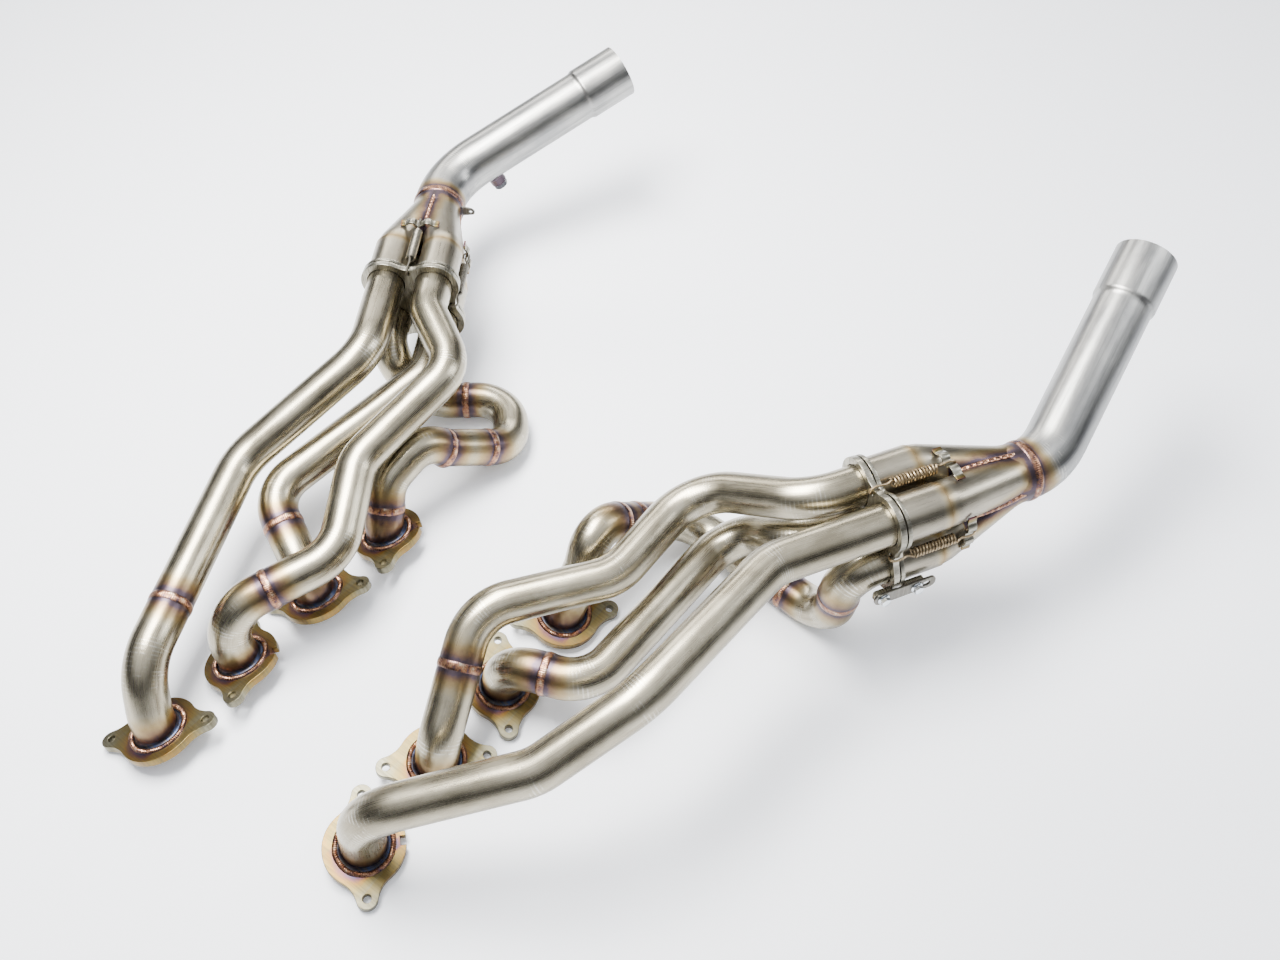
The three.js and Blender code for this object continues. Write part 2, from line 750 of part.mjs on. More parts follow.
function collectorParts(name) {
  const parts = [
    [`${name}_collector`, collectorShell(), CAST_STEEL],
    [`${name}_merge_spike`, mergeSpike(), CAST_STEEL],
  ];
  const keeper = name === "right";
  const slip = slipPlate();
  const plate = collectorPlate();
  const primaryLug = [-28, SLIP_PLATE.back + 0.5];
  const collectorLug = [COLLECTOR_PLATE.front - 0.5, 30];
  const slipGeometry = keeper ? withLug(slip, primaryLug, PRIMARY_BOLT_X) : slip;
  const plateGeometry = keeper ? withLug(plate, collectorLug, COLLECTOR_BOLT_X) : plate;
  parts.push([`${name}_slip_plate`, slipGeometry, FLANGE_STEEL]);
  parts.push([`${name}_collector_plate`, plateGeometry, FLANGE_STEEL]);
  if (keeper) {
    parts.push([`${name}_keeper_strap`, keeperStrap(), FLANGE_STEEL]);
    parts.push([`${name}_keeper_bolt_1`, flangeBolt(PRIMARY_BOLT_X), ZINC]);
    parts.push([`${name}_keeper_bolt_2`, flangeBolt(COLLECTOR_BOLT_X), ZINC]);
  } else {
    parts.push([`${name}_shield_tab`, shieldTab(), FLANGE_STEEL]);
  }
  for (let side = 0; side < 4; side++) {
    const turn = (side * Math.PI) / 2;
    parts.push([`${name}_spring_bridge_${side + 1}`, springBridge().rotateX(turn), FLANGE_STEEL]);
    parts.push([`${name}_spring_${side + 1}`, tensionSpring().rotateX(turn), SPRING_STEEL]);
  }
  return parts;
}

function outletParts(name, bank, frame) {
  const vertices = outletLine(bank, frame);
  const pipe = outletPipe(vertices);
  if (name === "right") return [[`${name}_outlet_pipe`, pipe, OUTLET_STEEL]];
  const fittings = sensorFittings(pipe, vertices);
  return [
    [`${name}_outlet_pipe`, fittings.pipe, OUTLET_STEEL],
    [`${name}_sensor_boss`, fittings.boss, CAST_STEEL],
    [`${name}_sensor_plug`, fittings.plug, DARK_STEEL],
  ];
}

function named([name, geometry, material]) {
  const mesh = new THREE.Mesh(geometry, material);
  mesh.name = name;
  return mesh;
}

function buildBank(name, bank) {
  const frame = bankFrame(bank);
  const group = new THREE.Group();
  group.position.set(...bank.origin, 0);
  group.rotation.z = THREE.MathUtils.degToRad(bank.heading);
  group.add(...portFlanges(name, bank, frame), ...primaries(name, bank, frame));
  const collector = new THREE.Group();
  collector.position.set(...bank.collector.at);
  collector.rotation.copy(frame.turn);
  collector.add(...collectorParts(name).map(named));
  group.add(collector, ...outletParts(name, bank, frame).map(named));
  return group;
}

const exhaust = new THREE.Group();
exhaust.add(...Object.entries(BANKS).map(([name, bank]) => buildBank(name, bank)));
exhaust.updateMatrixWorld(true);
const footprint = new THREE.Box3().setFromObject(exhaust, true);
const middle = footprint.getCenter(V(0, 0, 0));
exhaust.position.set(-middle.x, -middle.y, -footprint.min.z);

export default exhaust;
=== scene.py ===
# %% [markdown]
# # A pair of tubular race manifolds
#
# The real thing is a pair of 4-into-1 exhaust manifolds of a V8 race engine. Each bank is cut, bent and
# welded from thin stainless tube, and ends in a collector that slips over four pipes and is held by springs.
# The packed CAD model gives every size and every moving body. This script puts fine surfaces over it: round
# tubes, weld beads, heat tint, coiled springs and machined plates.

# %% Load the frame
import math

import bpy
import numpy as np
from mathutils import Matrix, Vector


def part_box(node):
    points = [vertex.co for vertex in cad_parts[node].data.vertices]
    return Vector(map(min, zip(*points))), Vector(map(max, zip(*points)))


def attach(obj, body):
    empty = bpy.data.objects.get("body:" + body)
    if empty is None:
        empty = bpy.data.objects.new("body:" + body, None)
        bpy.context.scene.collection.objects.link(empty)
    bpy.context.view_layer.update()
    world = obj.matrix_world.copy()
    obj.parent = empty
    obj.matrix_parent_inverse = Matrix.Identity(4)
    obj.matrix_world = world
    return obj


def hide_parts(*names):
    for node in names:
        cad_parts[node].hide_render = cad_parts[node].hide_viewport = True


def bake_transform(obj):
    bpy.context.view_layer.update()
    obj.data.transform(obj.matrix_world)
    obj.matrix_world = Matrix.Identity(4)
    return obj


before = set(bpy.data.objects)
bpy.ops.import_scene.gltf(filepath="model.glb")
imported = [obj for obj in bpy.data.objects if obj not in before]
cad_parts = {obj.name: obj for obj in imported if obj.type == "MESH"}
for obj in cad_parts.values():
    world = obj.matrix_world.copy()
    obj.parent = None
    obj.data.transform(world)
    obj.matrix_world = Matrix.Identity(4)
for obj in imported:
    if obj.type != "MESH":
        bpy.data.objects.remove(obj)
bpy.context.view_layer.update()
MM = 0.001

# %% [markdown]
# ## The bend tables
#
# A tube bender works from a table of straight runs and bends. The same table drives the CAD model, so it is
# written here again: each bend is a corner point and a bend radius in millimetres, in the frame of its bank.
# That frame has x along the row of ports, y to the left of the row and z up. A radius of 0 is a mitred joint.

# %% Sizes shared by both banks
TUBE_RADIUS = 22.5
WALL = 1.6
FLANGE_THICKNESS = 9
PORT_PITCH = 109
LOBE_PITCH = 59
INSERTION = 38
OUTLET_RADIUS = 33
NECK_END = 180
SOCKET_LENGTH = 62
SOCKET_RADIUS = OUTLET_RADIUS + 0.6 + WALL
print("tube", 2 * TUBE_RADIUS, "mm, outlet", 2 * OUTLET_RADIUS, "mm, wall", WALL, "mm")

# %% One table for each pipe
BANKS = {
    "left": {
        "tilt": -16,
        "ears": [-1, 1, -1, 1],
        "collector": {"at": (555, 165, 132), "yaw": 35, "roll": 0},
        "pipes": [
            {
                "rise": (25, 60),
                "bends": [(26, 30, 90, 60), (259, 150, 105, 70)],
                "run_in": (125, 70),
                "lobe": (1, 1),
                "pieces": ["port_stub_1", "primary_1"],
                "welds": [(2, 0.27)],
            },
            {
                "rise": (75, 50),
                "bends": [(240, -30, 100, 55), (333, 31, 125, 60), (490, 30, 150, 50)],
                "run_in": (50, 40),
                "lobe": (-1, 1),
                "pieces": ["port_stub_2", "primary_2"],
                "welds": [(1, 0.45)],
            },
            {
                "rise": (38, 45),
                "bends": [(256, 107, 80, 48)],
                "run_in": (100, 50),
                "lobe": (-1, -1),
                "pieces": ["port_stub_3", "primary_3"],
                "welds": [(1, 0.6)],
            },
            {
                "rise": (17, 20),
                "bends": [
                    (356, 20, 74, 45),
                    (418, 16, 97, 38),
                    (435, 6, 72, 0),
                    (515, -24, 22.5, 46),
                    (573, 32, 22.5, 46),
                    (508, 108, 22.5, 45),
                ],
                "run_in": (70, 40),
                "lobe": (1, -1),
                "pieces": ["port_stub_4", "crossover_4", "return_bend_4", "primary_4"],
                "welds": [(4, 0), (4, 0.62), (6, 0.55)],
                "rings": [(1, 0.45)],
            },
        ],
        "outlet": {"vertex": 238, "radius": 90, "end": (1005, 200, 215)},
    },
    "right": {
        "tilt": 9,
        "ears": [1, -1, 1, -1],
        "collector": {"at": (530, -260, 160), "yaw": -33, "roll": -5},
        "pipes": [
            {
                "rise": (99, 60),
                "bends": [(112, -138, 150, 70), (212, -188, 190, 90)],
                "run_in": (135, 70),
                "lobe": (-1, 1),
                "pieces": ["primary_1"],
                "welds": [],
            },
            {
                "rise": (38, 50),
                "bends": [(228, 32, 120, 60), (343, -62, 120, 60), (485, -68, 125, 60)],
                "run_in": (60, 60),
                "lobe": (1, 1),
                "pieces": ["port_stub_2", "primary_2"],
                "welds": [(1, 0.6)],
            },
            {
                "rise": (63, 45),
                "bends": [(245, -98, 70, 50), (506, -115, 70, 50)],
                "run_in": (75, 50),
                "lobe": (1, -1),
                "pieces": ["port_stub_3", "primary_3"],
                "welds": [(1, 0.5)],
            },
            {
                "rise": (17, 20),
                "bends": [
                    (362, -6, 72, 40),
                    (394, 0, 116, 32),
                    (421, -8, 88, 0),
                    (512, -48, 22.5, 48),
                    (484, -252, 22.5, 48),
                ],
                "run_in": (45, 36),
                "lobe": (-1, -1),
                "pieces": ["port_stub_4", "crossover_4", "return_bend_4", "primary_4"],
                "welds": [(4, 0), (5, 0.716), (6, 0.55)],
                "rings": [(4, 0.24)],
            },
        ],
        "outlet": {"vertex": 210, "radius": 75, "end": (958, -362, 262)},
    },
}
for name, bank in BANKS.items():
    print(name, "bends in each pipe", [len(pipe["bends"]) + 2 for pipe in bank["pipes"]])

# %% [markdown]
# ## Where each bank lies
#
# The frame knows where every CAD piece is. The middle of the first and last port flange fixes the row of
# ports, and with it the frame of the whole bank, so nothing has to be fitted by eye.

# %% Frames of the banks and collectors


def middle(node):
    low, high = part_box(node)
    return (Vector(low) + Vector(high)) / (2 * MM)


def bank_matrix(name, bank):
    first = middle(f"{name}_port_flange_1")
    row = (middle(f"{name}_port_flange_4") - first).normalized()
    left = Vector((0, 0, 1)).cross(row)
    turn = Matrix((row, left, Vector((0, 0, 1)))).transposed()
    tilt = math.radians(bank["tilt"])
    bank["normal"] = Vector((0, -math.sin(tilt), math.cos(tilt)))
    under = first - turn @ bank["normal"] * FLANGE_THICKNESS / 2
    bank["port_height"] = under.z
    under.z = 0
    return Matrix.Translation(under) @ turn.to_4x4()


for name, bank in BANKS.items():
    bank["matrix"] = bank_matrix(name, bank)
    collector = bank["collector"]
    yaw = Matrix.Rotation(math.radians(collector["yaw"]), 4, "Z")
    roll = Matrix.Rotation(math.radians(collector["roll"]), 4, "X")
    bank["local_collector"] = Matrix.Translation(collector["at"]) @ yaw @ roll
    bank["collector_matrix"] = bank["matrix"] @ bank["local_collector"]
    row_pitch = (middle(f"{name}_port_flange_2") - middle(f"{name}_port_flange_1")).length
    print(name, "port pitch", round(row_pitch, 2), "port height", round(bank["port_height"], 2))

# %% [markdown]
# ## Shader maths as Python
#
# Each finish is a small formula. Wrapping a socket in a class that overloads the operators lets the formula
# be read as one: every operator adds one Math node. Colours go through Mix nodes instead, because a Math
# node would turn them grey.

# %% A socket that can be calculated with


class Value:
    """A socket of a node tree, usable in Python expressions."""

    def __init__(self, shader, socket):
        self.shader = shader
        self.socket = socket

    def __add__(self, other):
        return self.shader.math("ADD", self, other)

    def __radd__(self, other):
        return self.shader.math("ADD", other, self)

    def __sub__(self, other):
        return self.shader.math("SUBTRACT", self, other)

    def __rsub__(self, other):
        return self.shader.math("SUBTRACT", other, self)

    def __mul__(self, other):
        return self.shader.math("MULTIPLY", self, other)

    def __rmul__(self, other):
        return self.shader.math("MULTIPLY", other, self)

    def __truediv__(self, other):
        return self.shader.math("DIVIDE", self, other)

    def __rtruediv__(self, other):
        return self.shader.math("DIVIDE", other, self)

    def clamped(self):
        return self.shader.math("MINIMUM", self.shader.math("MAXIMUM", self, 0.0), 1.0)

    def steps(self, low, high):
        """0 below low, 1 above high, and straight in between."""
        return ((self - low) / (high - low)).clamped()


print("reflected operators", [word for word in vars(Value) if word.startswith("__r")])

# %% [markdown]
# ## One method for every node
#
# A node needs its type, then its settings, such as the operation of a Math node or the stops of a ramp, and
# last what goes into its sockets. One method does this for all of them. The named methods below it only
# shorten the nodes that come often.

# %% A node tree under construction


class Shader:
    """The nodes of a finish, or of the air round the set."""

    def __init__(self, owner, surface="Principled BSDF"):
        owner.use_nodes = True
        self.owner = owner
        self.tree = owner.node_tree
        self.surface = self.tree.nodes[surface]

    def node(self, kind, settings=None, inputs=(), output=0):
        made = self.tree.nodes.new(kind)
        for key, value in (settings or {}).items():
            if key == "stops":
                self.place_stops(made.color_ramp.elements, value)
            else:
                setattr(made, key, value)
        pairs = inputs.items() if isinstance(inputs, dict) else enumerate(inputs)
        for key, value in pairs:
            self.feed(made.inputs[key], value)
        return Value(self, made.outputs[output])

    def place_stops(self, elements, stops):
        while len(elements) < len(stops):
            elements.new(0.5)
        for element, (position, colour) in zip(elements, stops):
            element.position = position
            element.color = (*colour, 1)

    def feed(self, socket, value):
        if isinstance(value, Value):
            self.tree.links.new(value.socket, socket)
        else:
            socket.default_value = value

    def set(self, **values):
        for key, value in values.items():
            self.feed(self.surface.inputs[key.replace("_", " ")], value)

    def math(self, operation, *inputs):
        return self.node("ShaderNodeMath", {"operation": operation}, inputs)

    def attribute(self, name, output="Fac"):
        return self.node("ShaderNodeAttribute", {"attribute_name": name}, output=output)

    def stretched(self, vector, scale):
        return self.node("ShaderNodeVectorMath", {"operation": "MULTIPLY"}, [vector, scale])

    def noise(self, vector, scale, detail=3.0, roughness=0.55):
        values = {"Vector": vector, "Scale": scale, "Detail": detail, "Roughness": roughness}
        return self.node("ShaderNodeTexNoise", {}, values)

    def mix(self, factor, first, second):
        values = {0: factor, 6: first, 7: second}
        return self.node("ShaderNodeMix", {"data_type": "RGBA"}, values, output=2)

    def ramp(self, factor, stops):
        return self.node("ShaderNodeValToRGB", {"stops": stops}, [factor])

    def bump(self, height, distance, strength=1.0):
        values = {"Height": height, "Distance": distance, "Strength": strength}
        return self.node("ShaderNodeBump", {}, values)


def rgb(red, green, blue):
    return (red, green, blue, 1)


def shade(colour, part):
    """A colour at a part of its brightness."""
    return rgb(*(channel * part for channel in colour))


print("half of a pale grey", shade((0.8, 0.8, 0.8), 0.5))

# %% [markdown]
# ## Stainless tube
#
# Each tube carries three attributes that its mesh code writes. "straight" is where a point would be if the
# tube were unbent, so a noise stretched along it becomes the fine drawn grain of the tube and follows every
# bend. "weld" is the distance to the nearest weld, which sets the heat tint: beside the bead the oxide is
# dark, then bronze and straw, until the bare steel shows. "bent" is 1 in a bend, where the bender's
# die leaves fine ribs across the tube.

# %% Steel with a drawn grain, heat tint and bender's marks
TINT = [
    (0.00, (0.05, 0.038, 0.04)),
    (0.21, (0.075, 0.055, 0.07)),
    (0.32, (0.16, 0.10, 0.065)),
    (0.52, (0.26, 0.19, 0.095)),
    (0.78, (0.36, 0.30, 0.185)),
]
RIB_PITCH = 0.0034
# The pale colour put on the crests of the bender's ribs is a painted highlight.
RIB_PAINTED_HIGHLIGHT = rgb(0.70, 0.68, 0.60)


def steel(name, bare, dark, reach, roughness, streaks):
    """Stainless steel. reach is how far the heat tint goes from a weld, in metres."""
    s = Shader(bpy.data.materials.new(name))
    place = s.attribute("straight", "Vector")
    along = s.node("ShaderNodeSeparateXYZ", None, [place], output=2)
    grain = s.noise(s.stretched(place, (1, 1, 0.02)), 1100.0, 4.0)
    streak = s.noise(s.stretched(place, (1, 1, 0.04)), 160.0, 4.0, 0.65)
    cloud = s.noise(s.stretched(place, (1, 1, 0.4)), 34.0, 5.0, 0.6)
    wander = s.noise(place, 55.0, 5.0, 0.65)
    pressed = s.attribute("bent") * wander.steps(0.48, 0.6)
    ribs = s.math("SINE", along * (2 * math.pi / RIB_PITCH)) * pressed
    heat = (s.attribute("weld") / reach + (wander - 0.5) * 0.5).clamped()
    clean = s.mix(cloud.steps(0.36, 0.66), rgb(*dark), rgb(*bare))
    clean = s.mix(streak.steps(0.5, 0.72) * streaks, clean, shade(dark, 0.55))
    # Lightening the rib crests towards this colour is a painted highlight; the ribs themselves are in the
    # bump.
    clean = s.mix(ribs.steps(0.1, 0.8) * 0.5, clean, RIB_PAINTED_HIGHLIGHT)
    tinted = s.ramp(heat, [*TINT, (1.0, bare)])
    amount = 1 - heat.steps(0.6, 1.0)
    rough = roughness + (grain - 0.5) * 0.22 + (cloud - 0.5) * 0.16 + (1 - heat) * 0.10
    height = grain * 0.3 + streak * 0.3 + wander * 0.25 + ribs * 0.16
    s.set(
        Base_Color=s.mix(amount, clean, tinted),
        Metallic=1.0,
        Roughness=rough.clamped(),
        Normal=s.bump(height, 0.00016, 0.8),
    )
    return s.owner


print("ribs", RIB_PITCH, "m apart, tints", len(TINT))

# %% Steel of the tubes, the outlets and the collectors
TUBE_STEEL = steel(
    "tube steel",
    bare=(0.43, 0.39, 0.295),
    dark=(0.255, 0.225, 0.16),
    reach=0.036,
    roughness=0.28,
    streaks=0.45,
)
OUTLET_STEEL = steel(
    "outlet steel",
    bare=(0.38, 0.375, 0.355),
    dark=(0.25, 0.25, 0.245),
    reach=0.026,
    roughness=0.34,
    streaks=0.7,
)
COLLECTOR_STEEL = steel(
    "collector steel",
    bare=(0.38, 0.345, 0.27),
    dark=(0.24, 0.215, 0.165),
    reach=0.022,
    roughness=0.31,
    streaks=0.4,
)
print("steels", TUBE_STEEL.name, OUTLET_STEEL.name, COLLECTOR_STEEL.name)

# %% [markdown]
# ## Plates
#
# The flat plates are machined or laser cut. Their faces show fine parallel lines, and round each weld they
# have turned gold and blue. A ramp over the distance to the weld gives the colours in their order, and a
# noise squeezed along one axis gives the lines.

# %% Lined plate steel with a hot ring
PLATE_TINT = [
    (0.00, (0.03, 0.027, 0.035)),
    (0.10, (0.04, 0.055, 0.11)),
    (0.19, (0.11, 0.05, 0.06)),
    (0.30, (0.20, 0.11, 0.032)),
    (0.44, (0.18, 0.13, 0.045)),
    (0.75, (0.17, 0.148, 0.08)),
]
SCORE = rgb(0.08, 0.07, 0.045)


def plate_steel(name, bare, reach, roughness):
    s = Shader(bpy.data.materials.new(name))
    place = s.attribute("straight", "Vector")
    lines = s.noise(s.stretched(place, (1, 0.02, 0.02)), 560.0, 4.0, 0.7)
    cloud = s.noise(place, 45.0, 4.0, 0.6)
    heat = (s.attribute("weld") / reach + (cloud - 0.5) * 0.45).clamped()
    tinted = s.ramp(heat, [*PLATE_TINT, (1.0, bare)])
    clean = s.mix(cloud.steps(0.35, 0.7), shade(bare, 0.72), rgb(*bare))
    toned = s.mix(1 - heat.steps(0.7, 1.0), clean, tinted)
    s.set(
        Base_Color=s.mix(lines.steps(0.46, 0.62) * 0.55, toned, SCORE),
        Metallic=1.0,
        Roughness=(roughness + (lines - 0.5) * 0.3 + (cloud - 0.5) * 0.15).clamped(),
        Normal=s.bump(lines * 0.6 + cloud * 0.4, 0.00014, 0.8),
    )
    return s.owner


FLANGE_STEEL = plate_steel("flange steel", bare=(0.185, 0.172, 0.118), reach=0.027, roughness=0.38)
PLATE_STEEL = plate_steel("plate steel", bare=(0.40, 0.38, 0.31), reach=0.007, roughness=0.30)
DARK_PLATE = plate_steel("dark plate", bare=(0.20, 0.19, 0.165), reach=0.007, roughness=0.34)
print("plates", FLANGE_STEEL.name, PLATE_STEEL.name, DARK_PLATE.name)

# %% [markdown]
# ## Weld beads
#
# A bead is a row of small ripples with a copper and rose oxide. The ripples are in the mesh, so the finish
# only needs patches of colour and a dark edge where the bead meets the tube.

# %% Oxide of the beads
BEAD_EDGE = 0.0045
BEAD_TINT = [
    (0.30, (0.05, 0.06, 0.13)),
    (0.40, (0.13, 0.07, 0.06)),
    (0.52, (0.30, 0.15, 0.085)),
    (0.64, (0.40, 0.26, 0.17)),
    (0.76, (0.58, 0.51, 0.42)),
]


def bead_metal():
    s = Shader(bpy.data.materials.new("weld bead"))
    place = s.attribute("straight", "Vector")
    patch = s.noise(place, 130.0, 4.0, 0.65)
    edge = (s.attribute("weld") / BEAD_EDGE).steps(0.55, 0.95)
    fine = s.noise(place, 900.0, 2.0)
    s.set(
        Base_Color=s.mix(edge * 0.75, s.ramp(patch, BEAD_TINT), rgb(0.07, 0.05, 0.06)),
        Metallic=1.0,
        Roughness=(0.30 + (fine - 0.5) * 0.3).clamped(),
        Normal=s.bump(fine, 0.0001, 0.5),
    )
    return s.owner


BEAD = bead_metal()
print("bead colours", len(BEAD_TINT))

# %% [markdown]
# ## Springs, bolts and painted shade
#
# Springs are tempered to a bronze brown and the small bolts are bright zinc. The merge spike deep inside each
# collector is painted near black, which is painted shade. Each is one metal with a soft cloud of lighter and
# darker places.

# %% Small metals


def plain_metal(name, light, dark, roughness, scale=300.0):
    s = Shader(bpy.data.materials.new(name))
    place = s.attribute("straight", "Vector")
    cloud = s.noise(place, scale, 4.0, 0.6)
    s.set(
        Base_Color=s.mix(cloud.steps(0.35, 0.68), rgb(*dark), rgb(*light)),
        Metallic=1.0,
        Roughness=(roughness + (cloud - 0.5) * 0.25).clamped(),
        Normal=s.bump(cloud, 0.00008, 0.5),
    )
    return s.owner


SPRING_WIRE = plain_metal("spring wire", (0.40, 0.31, 0.19), (0.22, 0.165, 0.10), 0.40)
SPRING_STEEL = plain_metal("spring steel", (0.22, 0.205, 0.17), (0.12, 0.11, 0.09), 0.40)
ZINC = plain_metal("zinc", (0.80, 0.83, 0.86), (0.58, 0.62, 0.66), 0.2)
DARK_OXIDE = plain_metal("dark oxide", (0.12, 0.12, 0.13), (0.05, 0.05, 0.055), 0.42)
# Near black metal for the merge spike, deep inside each collector: painted shade.
SPIKE_PAINTED_SHADE = plain_metal("spike painted shade", (0.16, 0.14, 0.12), (0.05, 0.045, 0.04), 0.55, 90.0)

# %% [markdown]
# ## Meshes from rings
#
# Nearly everything here is a ring carried along a line. One helper joins a list of rings with four-sided
# faces. The other makes the mesh and stores the three attributes that the finishes read. It also names the
# CAD piece that the new piece stands for and the body that it rides on.

# %% Making pieces
BODY = "manifolds"
COLD = 500  # mm, a distance from a weld that its heat doesn't reach
SHARP = math.radians(34)


def piece(name, points, faces, straight, weld, material, body, replaces=(), bent=None):
    """A mesh object from points in millimetres, with the attributes that the finishes read."""
    mesh = bpy.data.meshes.new(name)
    mesh.from_pydata([Vector(p) * MM for p in points], [], faces)
    mesh.validate()
    store = mesh.attributes.new("straight", "FLOAT_VECTOR", "POINT")
    store.data.foreach_set("vector", (np.array(straight, float) * MM).ravel())
    store = mesh.attributes.new("weld", "FLOAT", "POINT")
    store.data.foreach_set("value", np.array(weld, float) * MM)
    store = mesh.attributes.new("bent", "FLOAT", "POINT")
    store.data.foreach_set("value", np.array(bent or [0.0] * len(points), float))
    mesh.polygons.foreach_set("use_smooth", [True] * len(mesh.polygons))
    mesh.set_sharp_from_angle(angle=SHARP)
    mesh.materials.append(material)
    made = bpy.data.objects.new(name, mesh)
    bpy.context.scene.collection.objects.link(made)
    if replaces:
        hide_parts(*replaces)
    if body:
        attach(made, body)
    return made


def ring_faces(rings, sides):
    faces = []
    for i in range(rings - 1):
        near = i * sides
        far = near + sides
        for k in range(sides):
            after = (k + 1) % sides
            faces.append((near + k, near + after, far + after, far + k))
    return faces


print("faces of a tube of 3 rings with 4 sides", len(ring_faces(3, 4)))

# %% [markdown]
# ## Centre lines
#
# A bend is a true arc between two straight runs. The centre line is a list of stations: a place, a
# direction, the plane of the ring there and the length travelled so far. Rings are carried from station to
# station without twist, so the drawn grain doesn't spiral round the tube.

# %% Stations of a straight run and of a bend
STEP = 7.0
BEND_STEP = math.radians(5)


def straight_stations(start, end, along, travelled):
    length = (end - start).length
    count = max(1, int(length / STEP))
    return [
        {
            "place": start.lerp(end, k / count),
            "along": along,
            "plane": along,
            "s": travelled + length * k / count,
            "bent": 0.0,
        }
        for k in range(count + 1)
    ]


def bend_stations(centre, start, radius, before, after, travelled):
    """Stations of the arc round a centre that turns one direction into another."""
    turn = before.angle(after)
    axis = before.cross(after).normalized()
    count = max(3, round(turn / BEND_STEP))
    stations = []
    for k in range(count + 1):
        spin = Matrix.Rotation(turn * k / count, 3, axis)
        direction = spin @ before
        stations.append(
            {
                "place": centre + spin @ (start - centre),
                "along": direction,
                "plane": direction,
                "s": travelled + radius * turn * k / count,
                "bent": math.sin(math.pi * k / count),
            }
        )
    return stations


run = straight_stations(Vector(), Vector((70, 0, 0)), Vector((1, 0, 0)), 0)
print("a straight run of 70 mm has", len(run), "stations")

# %% The whole centre line


def centre_line(corners):
    """Stations of a bend table, and the length travelled at each of its corners."""
    at = [Vector(c[:3]) for c in corners]
    along = [(b - a).normalized() for a, b in zip(at, at[1:])]
    stations = []
    at_corner = {0: 0.0}
    travelled = 0.0
    start = at[0]
    for i in range(1, len(at) - 1):
        radius = corners[i][3]
        before, after = along[i - 1], along[i]
        turn = before.angle(after)
        cut = radius * math.tan(turn / 2)
        end = at[i] - before * cut
        run = straight_stations(start, end, before, travelled)
        travelled = run[-1]["s"]
        if radius == 0:
            run[-1]["plane"] = (before + after).normalized()
            stations += run
            at_corner[i] = travelled
            start = at[i]
            continue
        stations += run[:-1]
        centre = at[i] + (after - before).normalized() * radius / math.cos(turn / 2)
        stations += bend_stations(centre, end, radius, before, after, travelled)[:-1]
        travelled += radius * turn
        at_corner[i] = travelled - cut
        start = at[i] + after * cut
    stations += straight_stations(start, at[-1], along[-1], travelled)
    return stations, at_corner


corner_line = centre_line([(0, 0, 0, 0), (200, 0, 0, 60), (200, 200, 0, 0)])[0]
print("length through a 60 mm bend of 90 degrees", round(corner_line[-1]["s"], 1), "mm")

# %% Rings on the stations


def carry(stations):
    """The two ring directions at each station, carried along without twist."""
    first = stations[0]["along"]
    hint = Vector((0, 0, 1)) if abs(first.z) < 0.9 else Vector((1, 0, 0))
    u = hint.cross(first).normalized()
    frames = []
    for station in stations:
        along = station["along"]
        u = (u - along * u.dot(along)).normalized()
        frames.append((u.copy(), along.cross(u)))
    return frames


def ring(station, directions, radius, sides):
    u, v = directions
    points = []
    for k in range(sides):
        angle = 2 * math.pi * k / sides
        offset = u * (radius * math.cos(angle)) + v * (radius * math.sin(angle))
        slide = offset.dot(station["plane"]) / station["along"].dot(station["plane"])
        points.append(station["place"] + offset - station["along"] * slide)
    return points


def straight_ring(s, radius, sides):
    turn = 2 * math.pi / sides
    return [(radius * math.cos(turn * k), radius * math.sin(turn * k), s) for k in range(sides)]


print("points in a ring of 48 sides", len(straight_ring(0, TUBE_RADIUS, 48)))

# %% [markdown]
# ## Tubes
#
# A tube is a skin of rings with a short inner wall at any end that can be looked into. A curve with a round
# bevel would give the same skin, but it wouldn't know how far each point is from the next weld.

# %% A tube
SIDES = 48


def tube(name, stations, radius_at, welds, material, matrix, body, replaces, lips=(0, 0)):
    """A round tube. lips are the lengths of inner wall at its two ends."""
    frames = carry(stations)
    points, straight, weld, bent = [], [], [], []

    def add(i, radius):
        s = stations[i]["s"]
        points.extend(matrix @ p for p in ring(stations[i], frames[i], radius, SIDES))
        straight.extend(straight_ring(s, radius, SIDES))
        nearest = min([abs(s - w) for w in welds], default=COLD)
        weld.extend([nearest] * SIDES)
        bent.extend([stations[i]["bent"]] * SIDES)

    first, last = stations[0]["s"], stations[-1]["s"]
    inner_start = [i for i, st in enumerate(stations) if st["s"] - first <= lips[0]]
    inner_end = [i for i, st in enumerate(stations) if last - st["s"] <= lips[1]]
    count = 0
    if lips[0]:
        for i in reversed(inner_start):
            add(i, radius_at(i) - WALL)
            count += 1
    for i in range(len(stations)):
        add(i, radius_at(i))
        count += 1
    if lips[1]:
        for i in reversed(inner_end):
            add(i, radius_at(i) - WALL)
            count += 1
    faces = ring_faces(count, SIDES)
    return piece(name, points, faces, straight, weld, material, body, replaces, bent)


print("tubes have", SIDES, "sides")

# %% [markdown]
# ## Weld beads in relief
#
# A weld bead is a thin raised ring whose surface is a row of overlapping ripples, as a hand-held torch leaves
# them, so it is modelled as relief, not painted. On a port flange the same ring lies on the plate instead.

# %% A bead
BEAD_AROUND = 264
BEAD_ACROSS = 8
BEAD_SINK = 0.15
BEAD_WANDER = 0.3


